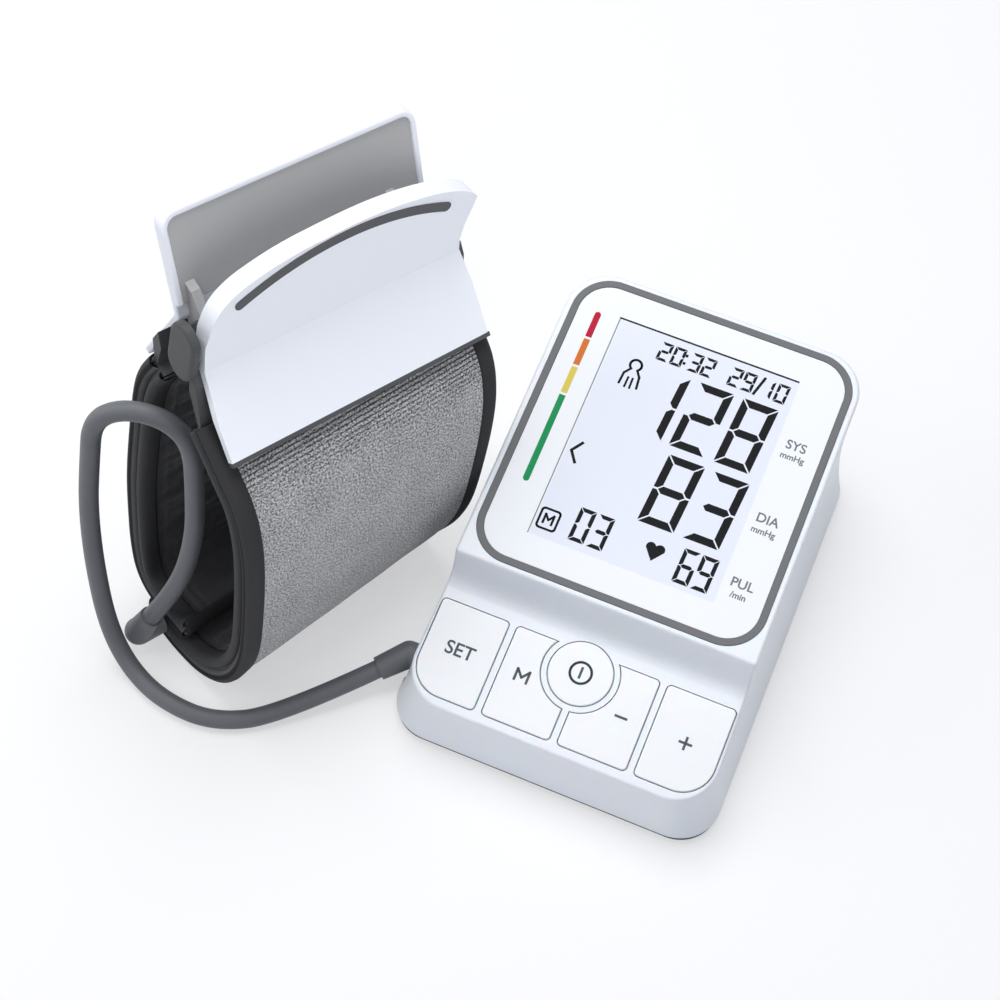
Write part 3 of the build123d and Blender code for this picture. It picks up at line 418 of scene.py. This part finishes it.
def displayFilm(name):
    # liquid crystal glass over a reflector: pale and slightly blue, a little uneven
    material, shader = startMaterial(name, "#eef2fc", 0.3)
    shader.inputs["Specular IOR Level"].default_value = 0.1
    coords = addNode(material, "ShaderNodeTexCoord")
    cloud = addNode(
        material, "ShaderNodeTexNoise", {"Scale": 25.0, "Detail": 1.0}, {"Vector": coords.outputs["Object"]}
    )
    mix = addNode(material, "ShaderNodeMix", data_type="RGBA")
    mix.inputs["A"].default_value = hexColour("#eff2fc")
    mix.inputs["B"].default_value = hexColour("#ebeffb")
    link(material, cloud.outputs["Fac"], mix.inputs["Factor"])
    link(material, mix.outputs["Result"], shader.inputs["Base Color"])
    return material


def floorPaint(name):
    # white studio floor: half its own light where the camera sees it, so that it stays white
    material, shader = startMaterial(name, "#fbfbfc", 0.7)
    shader.inputs["Specular IOR Level"].default_value = 0.1
    glow = addNode(material, "ShaderNodeEmission", {"Color": hexColour("#ffffff"), "Strength": 1.0})
    seen = seenShare(material.node_tree)
    share = addNode(material, "ShaderNodeMath", {1: 0.5}, {0: seen}, operation="MULTIPLY")
    mix = addNode(material, "ShaderNodeMixShader", {}, {
        0: share.outputs["Value"], 1: shader.outputs["BSDF"], 2: glow.outputs["Emission"],
    })
    output = material.node_tree.nodes["Material Output"]
    link(material, mix.outputs["Shader"], output.inputs["Surface"])
    return material


finish = {
    "caseWhite": mouldedPlastic("glossWhiteAbs", "#eff2f8", 0.3, glow=0.3),
    "keyWhite": mouldedPlastic("keyWhiteAbs", "#f5f6f8", 0.3, glow=0.3),
    "handleWhite": mouldedPlastic("handleWhiteAbs", "#f1f3f9", 0.35),
    # partly the bottom cover's own dark grey, partly painted shade: darkened to match the shade under the
    # upper case's overhang
    "caseDarkAndShade": mouldedPlastic("baseDarkAbs", "#4a4e54", 0.45, 0.5, 0.02, 0.2),
    "trimGrey": mouldedPlastic("ringGreyAbs", "#77787a", 0.5, mirror=0.1),
    "panelGrey": mouldedPlastic("panelGreyAbs", "#b3b2b1", 0.5, 0.5, 0.02, 0.2),
    "bracketGrey": mouldedPlastic("bracketGreyNylon", "#4b4c4d", 0.5, 0.6, 0.02, 0.2),
    "paneWhite": mouldedPlastic("paneWhitePrint", "#f3f5f8", 0.2, 3.0, 0.001, 0.2),
    "innerWhite": mouldedPlastic("innerWhiteAbs", "#dcdddf", 0.5),
    "boardGreen": mouldedPlastic("boardGreenMask", "#1d5a33", 0.4),
    "cellGreen": mouldedPlastic("cellSleeve", "#2b4a86", 0.35),
    "leadRed": mouldedPlastic("leadRedPvc", "#a8312a", 0.4),
    "rubberDark": softRubber("rubberDark", "#2a2b2d", 0.7),
    "tubeClear": softRubber("siliconeTube", "#cfd3d3", 0.4),
    "hoseGrey": softRubber("hoseGreyTpe", "#6d6f73", 0.5),
    "gripGrey": softRubber("gripGreyTpe", "#58595b", 0.6),
    "stripGrey": softRubber("stripGreyTpe", "#4b4c4f", 0.6),
    "steel": brushedMetal("platedSteel", "#c4c6ca"),
    "steelDark": brushedMetal("blackenedSteel", "#6c6e72", 0.45),
    "cloth": melangeKnit("melangeCloth"),
    "lining": wovenNylon("liningNylon", "#262628", "#3b3b3d"),
    "tape": bindingTape("bindingTape"),
    "film": displayFilm("displayFilm"),
    "inkBlack": printedInk("segmentInk", "#16171a"),
    "inkGrey": printedInk("labelInk", "#7d7f83"),
    # painted shade: the grey of the shaded left edge of the display's view area
    "inkEdgeShade": printedInk("lineInk", "#7f8185"),
    "inkKey": printedInk("keyInk", "#5c5e62"),
    "barRed": printedInk("barRed", "#c31f3c"),
    "barOrange": printedInk("barOrange", "#dd7a35"),
    "barYellow": printedInk("barYellow", "#e6d060"),
    "barGreen": printedInk("barGreen", "#22975b"),
}
print("materials ready")


# helpers for pieces
def meshPiece(name, bm, materials, body, smooth=True):
    mesh = bpy.data.meshes.new(name)
    bm.to_mesh(mesh)
    bm.free()
    for material in materials:
        mesh.materials.append(material)
    mesh.shade_smooth() if smooth else mesh.shade_flat()
    piece = bpy.data.objects.new(name, mesh)
    bpy.context.scene.collection.objects.link(piece)
    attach(piece, body)
    return piece


def paintNode(name, material):
    mesh = nodes[name].data
    mesh.materials.clear()
    mesh.materials.append(material)


def softenedCopy(name, material, body, width=0.3, segments=2, angle=30.0):
    bm = bmesh.new()
    bm.from_mesh(nodes[name].data)
    bmesh.ops.remove_doubles(bm, verts=bm.verts, dist=0.002 * mm)
    bmesh.ops.dissolve_limit(bm, angle_limit=math.radians(0.5), verts=bm.verts, edges=bm.edges)
    piece = meshPiece(name + "_skin", bm, [material], body)
    edge = piece.modifiers.new("softEdge", "BEVEL")
    edge.width = width * mm
    edge.segments = segments
    edge.limit_method = "ANGLE"
    edge.angle_limit = math.radians(angle)
    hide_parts(name)
    normals = piece.modifiers.new("evenNormals", "WEIGHTED_NORMAL")
    normals.keep_sharp = True
    return piece


# floor
floorMesh = bmesh.new()
bmesh.ops.create_grid(floorMesh, x_segments=1, y_segments=1, size=4.0)
floorData = bpy.data.meshes.new("floor")
floorMesh.to_mesh(floorData)
floorMesh.free()
floorData.materials.append(floorPaint("floorPaint"))
floor = bpy.data.objects.new("floor", floorData)
bpy.context.scene.collection.objects.link(floor)

# air hose
hosePlan = {
    "diameter": 6.0,
    "length": 320.8,
    "route": [
        Vector((-62.41, -62.89, 9.54)) * mm,
        Vector((-86.0, -88.0, 3.3)) * mm,
        Vector((-104.0, -98.5, 3.3)) * mm,
        Vector((-122.0, -98.0, 3.3)) * mm,
        Vector((-136.5, -92.2, 3.3)) * mm,
        Vector((-146.2, -86.2, 15.0)) * mm,
        cuffPoint(-17.6, 43.6, 40.0),
        cuffPoint(-16.6, 48.8, 64.0),
        cuffPoint(-15.4, 49.8, 86.0),
        cuffPoint(-14.8, 49.4, 104.0),
        cuffPoint(-9.2, 43.0, 112.5),
        cuffPoint(-1.2, 34.0, 112.5),
        cuffPoint(4.4, 27.6, 104.0),
        cuffPoint(5.4, 26.0, 82.0),
        cuffPoint(5.8, 25.0, 58.0),
        cuffPoint(1.0, 25.5, 34.0),
        cuffPoint(-4.8, 31.0, 16.0),
    ],
}


def makeHose():
    curve = bpy.data.curves.new("airHoseCurve", "CURVE")
    curve.dimensions = "3D"
    curve.bevel_depth = hosePlan["diameter"] * mm / 2
    curve.bevel_resolution = 8
    curve.use_fill_caps = True
    route = hosePlan["route"]
    spline = curve.splines.new("NURBS")
    spline.points.add(len(route) - 1)
    for point, place in zip(spline.points, route):
        point.co = (*place, 1.0)
    spline.order_u = 3
    spline.use_endpoint_u = True
    spline.resolution_u = 16
    curve.materials.append(finish["hoseGrey"])
    hose = bpy.data.objects.new("air_hose_curve", curve)
    bpy.context.scene.collection.objects.link(hose)
    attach(hose, deskBody)
    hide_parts("air_hose")
    tuple(route[0])


makeHose()
print("hose laid")


# jaws of the cuff
# the cloth's length along the arm
jawSpan = 90.0


def evenLine(points, steps):
    dense = []
    padded = [points[0], *points, points[-1]]
    for first, second, third, fourth in zip(padded, padded[1:], padded[2:], padded[3:]):
        p0, p1, p2, p3 = (Vector(p) for p in (first, second, third, fourth))
        for index in range(12):
            t = index / 12
            dense.append(0.5 * (2 * p1 + (p2 - p0) * t + (2 * p0 - 5 * p1 + 4 * p2 - p3) * t * t
                                + (3 * p1 - p0 - 3 * p2 + p3) * t ** 3))
    dense.append(Vector(points[-1]))
    lengths = [0.0]
    for before, after in zip(dense, dense[1:]):
        lengths.append(lengths[-1] + (after - before).length)
    line = []
    place = 0
    for index in range(steps + 1):
        target = lengths[-1] * index / steps
        while place < len(dense) - 2 and lengths[place + 1] < target:
            place += 1
        share = (target - lengths[place]) / max(lengths[place + 1] - lengths[place], 1e-9)
        line.append(dense[place].lerp(dense[place + 1], share))
    return line, lengths[-1]


jawLines = {side: evenLine(points, 240) for side, points in jawOutlines.items()}


def jawPoint(side, around, along, depth, beyond=0.0):
    line, total = jawLines[side]
    spot = min(max(around, 0.0), 1.0) * (len(line) - 1)
    index = min(int(spot), len(line) - 2)
    place = line[index].lerp(line[index + 1], spot - index)
    near = line[max(index - 3, 0)]
    far = line[min(index + 4, len(line) - 1)]
    run = (far - near).normalized()
    inward = jawInward[side]
    place = place + Vector((-inward * run.y, inward * run.x)) * depth + run * beyond
    y, z = place
    scale = jawShape["rightScale"]
    farY = jawShape["hingeY"] + (y - jawShape["hingeY"]) * scale
    farZ = jawShape["hingeZ"] + (z - jawShape["hingeZ"]) * scale
    farX = jawShape["right"] + jawShape["shear"] * (farZ - 14.0)
    x = jawShape["left"]
    return cuffPoint(x + (farX - x) * along, y + (farY - y) * along, z + (farZ - z) * along)


def jawGrid(name, side, alongSteps, aroundSteps, place, material, thick=0.0):
    bm = bmesh.new()
    uvLayer = bm.loops.layers.uv.new("weave")
    bmesh.ops.create_grid(bm, x_segments=alongSteps, y_segments=aroundSteps, size=0.5, calc_uvs=True)
    spots = {vert.index: (vert.co.x + 0.5, vert.co.y + 0.5) for vert in bm.verts}
    total = jawLines[side][1]
    for face in bm.faces:
        for loop in face.loops:
            along, around = spots[loop.vert.index]
            loop[uvLayer].uv = (along * weaveWidth, around * total)
    for vert in bm.verts:
        along, around = spots[vert.index]
        vert.co = place(along, around)
    piece = meshPiece(name, bm, [material], jawBody[side])
    if thick:
        wall = piece.modifiers.new("clothWall", "SOLIDIFY")
        wall.thickness = thick * mm
        wall.offset = 0.0
    return piece


def coverPlace(side):
    def place(along, around):
        ripple = noise.noise(Vector((along * 6.0, around * 9.0, 3.0 if side == "rear" else 0.0)))
        edge = min(along, 1 - along) * jawSpan
        pillow = 0.35 * (1 - math.exp(-edge / 6.0)) + 0.25 * ripple * (1 - math.exp(-edge / 9.0))
        seam = 0.45 * math.exp(-((edge - 7.0) / 0.7) ** 2)
        return jawPoint(side, around, along, 0.5 - pillow + seam)
    return place


def liningPlace(side):
    def place(along, around):
        x = along * jawSpan
        edge = min(x, jawSpan - x)
        total = jawLines[side][1]
        folds = noise.noise(Vector((x * 0.035, around * total * 0.16, 7.0 if side == "rear" else 1.0)))
        folds += 0.5 * noise.noise(Vector((x * 0.11, around * total * 0.3, 5.0)))
        damp = 1 - math.exp(-max(edge - 5.0, 0.0) / 8.0)
        seam = -0.8 * math.exp(-((edge - 6.0) / 0.7) ** 2) - 0.8 * math.exp(-((edge - 9.0) / 0.7) ** 2)
        return jawPoint(side, around, along, 7.0 + 1.3 * folds * damp + 0.5 * seam)
    return place


bandPath = [(4.2, -0.2), (2.2, -0.45), (0.5, -0.6), (-0.7, -0.3), (-1.4, 0.6), (-1.6, 1.7), (-1.3, 2.8),
            (-0.5, 3.6), (0.5, 4.0), (0.7, 4.4), (-0.2, 4.7), (-1.0, 5.3), (-1.3, 6.2), (-1.1, 7.2),
            (-0.3, 7.9), (0.8, 8.1), (2.4, 8.05), (4.2, 7.9)]


def bandPlace(side, end):
    def place(along, around):
        spot = along * (len(bandPath) - 1)
        index = min(int(spot), len(bandPath) - 2)
        share = spot - index
        inset = bandPath[index][0] * (1 - share) + bandPath[index + 1][0] * share
        depth = bandPath[index][1] * (1 - share) + bandPath[index + 1][1] * share
        position = inset / jawSpan if end == "left" else 1 - inset / jawSpan
        return jawPoint(side, around, position, depth)
    return place


def hemPlace(side):
    def place(along, around):
        turn = math.pi * around
        depth = 3.8 - 4.1 * math.cos(turn)
        return jawPoint(side, 1.0, along, depth, 1.4 * math.sin(turn))
    return place


for side in ("front", "rear"):
    cover = jawGrid(side + "_cover", side, 100, 150, coverPlace(side), finish["cloth"], 0.9)
    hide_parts(side + "_cuff_cover")
    lining = jawGrid(side + "_lining_cloth", side, 110, 190, liningPlace(side), finish["lining"], 0.5)
    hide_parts(side + "_lining")
    leftTape = jawGrid(side + "_tape_left", side, 34, 150, bandPlace(side, "left"), finish["tape"], 0.35)
    rightTape = jawGrid(side + "_tape_right", side, 34, 150, bandPlace(side, "right"), finish["tape"], 0.35)
    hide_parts(side + "_binding")
    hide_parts(side + "_binding")
    hem = jawGrid(side + "_hem", side, 60, 12, hemPlace(side), finish["tape"], 0.35)
print("cuff cloth made")

# carried-over solids
nodeFinish = {
    "caseDarkAndShade": ["bottom_cover", "air_socket", "pressure_sensor", "battery_cover"],
    "film": ["lcd_panel"],
    "innerWhite": ["lcd_backlight", "lcd_holder", "board_ribbon", "pump_head", "air_manifold"],
    "boardGreen": ["main_board", "key_board"],
    "steel": [
        "key_domes", "board_screws", "battery_springs", "battery_contacts", "pump_motor", "hinge_pin",
        "clip_springs",
    ],
    "cellGreen": ["batteries"],
    "steelDark": ["case_screws", "exhaust_valve"],
    "rubberDark": ["rubber_feet", "pump_cushion"],
    "tubeClear": ["inner_tubes"],
    "leadRed": ["wire_leads"],
    "hoseGrey": ["hose_plug", "hose_port"],
    "bracketGrey": ["front_jaw_frame", "front_hinge_brackets", "rear_jaw_frame"],
    "stripGrey": ["front_bladder", "edge_strip", "rear_bladder"],
    "gripGrey": ["front_grip_insert"],
    "panelGrey": ["rear_hinge_brackets"],
}
for finishName, nodeNames in nodeFinish.items():
    for nodeName in nodeNames:
        paintNode(nodeName, finish[finishName])

softenedCopy("top_cover", finish["caseWhite"], deskBody, 0.35)
softenedCopy("front_handle_shell", finish["handleWhite"], deskBody, 0.7, 3)
softenedCopy("rear_handle_shell", finish["handleWhite"], rearBody, 0.7, 3)
softenedCopy("rear_handle_panel", finish["panelGrey"], rearBody, 0.25)
softenedCopy("window_trim", finish["trimGrey"], deskBody, 0.2)
keyBodies = {
    "set_button": "set_key", "memory_button": "memory_key", "minus_button": "minus_key",
    "plus_button": "plus_key", "power_button": "power_key",
}
for keyName, keyBody in keyBodies.items():
    softenedCopy(keyName, finish["keyWhite"], keyBody, 0.12)
print("solids finished")

# display pane and print
# how far printed ink stands off its surface
inkLift = 0.01
deckPlan = {"frontY": -74.8, "frontZ": 25.9, "tilt": 12.6, "keyTop": 0.3}
panePlan = {
    "frontY": -31.0, "frontZ": 47.8, "tilt": 10.7, "halfWidth": 45.1, "front": 2.4, "rear": 101.5,
    "corner": 10.6, "depth": 1.7, "viewHalf": 30.5, "viewFront": 12.1, "viewRear": 91.7, "viewDrop": 0.25,
}


def slopeMatrix(plan, lift=0.0):
    tilt = math.radians(plan["tilt"])
    along = Vector((0, math.cos(tilt), math.sin(tilt)))
    normal = Vector((0, -math.sin(tilt), math.cos(tilt)))
    matrix = Matrix((Vector((1, 0, 0)), along, normal)).transposed().to_4x4()
    matrix.translation = Vector((0, plan["frontY"], plan["frontZ"])) + normal * lift
    return Matrix.Scale(mm, 4) @ matrix


def makePane():
    bm = bmesh.new()
    plan = panePlan
    height = plan["rear"] - plan["front"]
    bmesh.ops.create_grid(bm, x_segments=1, y_segments=1, size=1.0)
    bmesh.ops.scale(bm, vec=(plan["halfWidth"], height / 2, 1), verts=bm.verts)
    bmesh.ops.translate(bm, vec=(0, plan["front"] + height / 2, 0), verts=bm.verts)
    bmesh.ops.bevel(
        bm, geom=bm.verts[:], offset=plan["corner"], segments=10, profile=0.5, affect="VERTICES", material=-1,
    )
    cuts = [
        ((-plan["viewHalf"], 0, 0), (1, 0, 0)), ((plan["viewHalf"], 0, 0), (1, 0, 0)),
        ((0, plan["viewFront"], 0), (0, 1, 0)), ((0, plan["viewRear"], 0), (0, 1, 0)),
    ]
    for place, normal in cuts:
        everything = bm.verts[:] + bm.edges[:] + bm.faces[:]
        bmesh.ops.bisect_plane(bm, geom=everything, plane_co=place, plane_no=normal)
    middle = (plan["viewFront"] + plan["viewRear"]) / 2
    view = min(bm.faces, key=lambda face: (face.calc_center_median() - Vector((0, middle, 0))).length)
    view.material_index = 1
    raised = bmesh.ops.extrude_face_region(bm, geom=bm.faces[:])
    newVerts = [item for item in raised["geom"] if isinstance(item, bmesh.types.BMVert)]
    bmesh.ops.translate(bm, vec=(0, 0, -plan["depth"]), verts=newVerts)
    bmesh.ops.recalc_face_normals(bm, faces=bm.faces[:])
    bm.transform(slopeMatrix(plan))
    pane = meshPiece("display_pane", bm, [finish["paneWhite"], finish["film"]], deskBody, smooth=False)
    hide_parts("display_window")


makePane()

segmentShapes = {
    "0": "abcdef", "1": "bc", "2": "abged", "3": "abgcd", "4": "fgbc", "5": "afgcd", "6": "afgedc",
    "7": "abc", "8": "abcdefg", "9": "abcdfg",
}


def addPolygon(bm, corners):
    bm.faces.new([bm.verts.new((x, y, 0.0)) for x, y in corners])


def addDigit(bm, digit, left, bottom, width, height, thick, slant):
    half = height / 2
    gap = 0.13 * thick
    mid = thick / 2
    right = width
    shapes = {
        "a": [(gap, height), (right - gap, height), (right - thick - gap, height - thick),
              (thick + gap, height - thick)],
        "g": [(mid + gap, half), (thick + gap, half + mid), (right - thick - gap, half + mid),
              (right - mid - gap, half), (right - thick - gap, half - mid), (thick + gap, half - mid)],
        "b": [(right, height - gap), (right, half + gap), (right - mid, half + gap),
              (right - thick, half + mid + gap), (right - thick, height - thick - gap)],
    }
    shapes["d"] = [(x, height - y) for x, y in shapes["a"]]
    shapes["c"] = [(x, height - y) for x, y in shapes["b"]]
    shapes["f"] = [(right - x, y) for x, y in shapes["b"]]
    shapes["e"] = [(right - x, height - y) for x, y in shapes["b"]]
    for name in segmentShapes[digit]:
        addPolygon(bm, [(left + x + slant * y, bottom + y) for x, y in shapes[name]])


def inkPiece(name, bm, plan, lift, material, body, thick=0.02):
    bmesh.ops.recalc_face_normals(bm, faces=bm.faces[:])
    raised = bmesh.ops.extrude_face_region(bm, geom=bm.faces[:])
    newVerts = [item for item in raised["geom"] if isinstance(item, bmesh.types.BMVert)]
    bmesh.ops.translate(bm, vec=(0, 0, thick), verts=newVerts)
    bmesh.ops.recalc_face_normals(bm, faces=bm.faces[:])
    bm.transform(slopeMatrix(plan, lift))
    return meshPiece(name, bm, [material], body, smooth=False)


def addStroke(bm, points, thick, closed=False):
    ring = points + [points[0]] if closed else points
    for (x0, y0), (x1, y1) in zip(ring, ring[1:]):
        run = Vector((x1 - x0, y1 - y0)).normalized()
        side = Vector((-run.y, run.x)) * thick / 2
        reach = run * thick * 0.35
        start = Vector((x0, y0)) - reach
        end = Vector((x1, y1)) + reach
        addPolygon(bm, [tuple(start + side), tuple(start - side), tuple(end - side), tuple(end + side)])


def addWords(bm, words, x, y, size, bold=0.0):
    curve = bpy.data.curves.new("words", "FONT")
    curve.body = words
    curve.size = size
    curve.offset = bold
    curve.align_x = "CENTER"
    curve.align_y = "CENTER"
    holder = bpy.data.objects.new("words", curve)
    bpy.context.scene.collection.objects.link(holder)
    bpy.context.view_layer.update()
    mesh = bpy.data.meshes.new_from_object(holder.evaluated_get(bpy.context.evaluated_depsgraph_get()))
    mesh.transform(Matrix.Translation((x, y, 0)))
    bm.from_mesh(mesh)
    bpy.data.objects.remove(holder)
    bpy.data.curves.remove(curve)
    bpy.data.meshes.remove(mesh)


def circlePoints(x, y, radius, start=0.0, end=360.0, steps=28):
    turns = [math.radians(start + (end - start) * index / steps) for index in range(steps + 1)]
    return [(x + radius * math.cos(turn), y + radius * math.sin(turn)) for turn in turns]


# the numbers on the display, each with its text, left edge, bottom, width, height, bar width and slant
numberPlan = [
    ("1", -15.6, 56.0, 11.9, 24.0, 2.6, 0.065), ("2", -0.9, 56.0, 11.9, 24.0, 2.6, 0.065),
    ("8", 14.1, 56.0, 11.9, 24.0, 2.6, 0.065), ("8", -1.0, 28.6, 12.1, 24.5, 2.6, 0.065),
    ("3", 14.0, 28.6, 12.0, 24.3, 2.6, 0.065), ("6", 15.9, 13.9, 5.4, 11.7, 1.3, 0.03),
    ("9", 21.9, 13.9, 5.5, 11.7, 1.3, 0.03), ("0", -18.8, 14.7, 5.3, 11.5, 1.3, 0.03),
    ("3", -12.7, 14.7, 5.3, 11.5, 1.3, 0.03),
]
# time and date: each number's left edge, and the size that all of them share
clockPlan = {
    "numbers": [("2", -15.5), ("0", -10.9), ("3", -5.0), ("2", -0.6), ("2", 8.6), ("9", 13.1), ("1", 19.3),
                ("0", 24.2)],
    "bottom": 82.4,
    "width": 3.9,
    "height": 6.7,
    "thick": 0.95,
    "slant": 0.05,
    "dots": [84.3, 87.1],
    "dotLeft": -6.4,
}
# signs drawn with strokes: their line width and the lines' points
signPlan = [
    (0.9, [(17.9, 82.5), (19.7, 89.0)]),
    (0.95, [(-26.1, 39.3), (-28.6, 42.9), (-26.1, 46.5)]),
    (0.75, [(-27.9, 16.9), (-27.9, 20.0), (-26.5, 18.2), (-25.1, 20.0), (-25.1, 16.9)]),
    (0.8, circlePoints(-20.3, 77.9, 1.9, -55, 235, 20)),
    (0.8, [(-21.4, 76.3), (-23.0, 74.2), (-23.3, 70.2)]),
    (0.8, [(-19.2, 76.3), (-17.8, 74.2), (-17.3, 70.2)]),
    (0.7, [(-21.1, 73.2), (-21.2, 69.6)]),
    (0.7, [(-19.6, 73.2), (-19.5, 69.6)]),
]
memoryBox = {"left": -28.5, "right": -24.5, "low": 16.1, "high": 20.8, "corner": 1.0, "thick": 0.75}
heartPlan = {"left": 6.3, "right": 9.3, "high": 22.0, "tip": (7.8, 17.6), "radius": 1.6}


def makeReadings():
    bm = bmesh.new()
    for digit, left, bottom, width, height, thick, slant in numberPlan:
        addDigit(bm, digit, left, bottom, width, height, thick, slant)
    clock = clockPlan
    for digit, left in clock["numbers"]:
        addDigit(
            bm, digit, left, clock["bottom"], clock["width"], clock["height"], clock["thick"], clock["slant"],
        )
    for y in clock["dots"]:
        addStroke(bm, [(clock["dotLeft"], y), (clock["dotLeft"] + 0.25, y)], clock["thick"])
    for thick, points in signPlan:
        addStroke(bm, points, thick)
    box = memoryBox
    corners = [
        (box["right"], box["high"], 0), (box["left"], box["high"], 90), (box["left"], box["low"], 180),
        (box["right"], box["low"], 270),
    ]
    outline = []
    for x, y, start in corners:
        outline += circlePoints(x, y, box["corner"], start, start + 90, 5)
    addStroke(bm, outline, box["thick"], closed=True)
    heart = circlePoints(heartPlan["left"], heartPlan["high"], heartPlan["radius"], 0, 200, 14)
    heart.append(heartPlan["tip"])
    heart += circlePoints(heartPlan["right"], heartPlan["high"], heartPlan["radius"], -20, 180, 14)
    addPolygon(bm, heart)
    inkPiece("display_segments", bm, panePlan, inkLift, finish["inkBlack"], deskBody)


labelPlan = [
    ("SYS", 70.2, 4.4), ("mmHg", 66.2, 2.9), ("DIA", 43.6, 4.4), ("mmHg", 39.4, 2.9), ("PUL", 20.8, 4.4),
    ("/min", 16.8, 2.9),
]
scalePlan = {
    "middle": -38.3,
    "half": 1.05,
    "bars": [
        ("barRed", 81.6, 91.2), ("barOrange", 71.0, 80.8), ("barYellow", 60.4, 70.2),
        ("barGreen", 27.8, 59.6),
    ],
}


def makePaneLines():
    bm = bmesh.new()
    # painted shade: a dark line along the top edge and a grey line down the left edge of the view area
    addStroke(bm, [(-31.0, 91.9), (30.0, 91.7)], 0.6)
    inkPiece("display_top_line", bm, panePlan, inkLift, finish["inkBlack"], deskBody)
    bm = bmesh.new()
    addStroke(bm, [(-31.0, 91.6), (-31.0, 12.2)], 0.35)
    inkPiece("display_side_line", bm, panePlan, inkLift, finish["inkEdgeShade"], deskBody)
    bm = bmesh.new()
    for words, y, size in labelPlan:
        addWords(bm, words, 36.7, y, size, bold=0.07)
    inkPiece("display_labels", bm, panePlan, inkLift, finish["inkGrey"], deskBody)
    middle = scalePlan["middle"]
    half = scalePlan["half"]
    for name, low, high in scalePlan["bars"]:
        bm = bmesh.new()
        top = [(middle + half, high), (middle - half, high)]
        bottom = [(middle - half, low), (middle + half, low)]
        if name == "barRed":
            top = circlePoints(middle, high - half, half, 0, 180, 10)
        if name == "barGreen":
            bottom = circlePoints(middle, low + half, half, 180, 360, 10)
        addPolygon(bm, top + bottom)
        inkPiece("scale_" + name, bm, panePlan, inkLift, finish[name], deskBody)


keyMarks = {
    "set_button": [("words", "SET", -37.4, 19.0, 6.2)],
    "memory_button": [
        ("stroke", [(-18.5, 17.1), (-18.5, 20.8), (-16.5, 18.4), (-14.5, 20.8), (-14.5, 17.1)]),
    ],
    "minus_button": [("stroke", [(14.8, 18.2), (18.4, 18.2)])],
    "plus_button": [("stroke", [(35.8, 18.0), (39.6, 18.0)]), ("stroke", [(37.7, 16.1), (37.7, 19.9)])],
    "power_button": [
        ("stroke", circlePoints(0.0, 26.6, 3.4, 0, 360, 48)), ("stroke", [(0.0, 25.0), (0.0, 28.3)]),
    ],
}


def makeKeyMarks():
    lift = deckPlan["keyTop"] + inkLift
    for keyName, entries in keyMarks.items():
        bm = bmesh.new()
        for kind, *shape in entries:
            if kind == "words":
                addWords(bm, *shape, bold=0.08)
            else:
                addStroke(bm, *shape, 0.8)
        inkPiece(keyName + "_mark", bm, deckPlan, lift, finish["inkKey"], keyBodies[keyName])


makeReadings()
makePaneLines()
makeKeyMarks()
print("display and key marks printed")

# a reflector beside the cuff in the studio, which lights the cuff and not the monitor
cuffGroup = bpy.data.collections.new("cuffPieces")
for piece in bpy.data.objects:
    if piece.type in ("MESH", "CURVE") and piece.name.startswith(cuffNames):
        cuffGroup.objects.link(piece)
cuffLight.light_linking.receiver_collection = cuffGroup
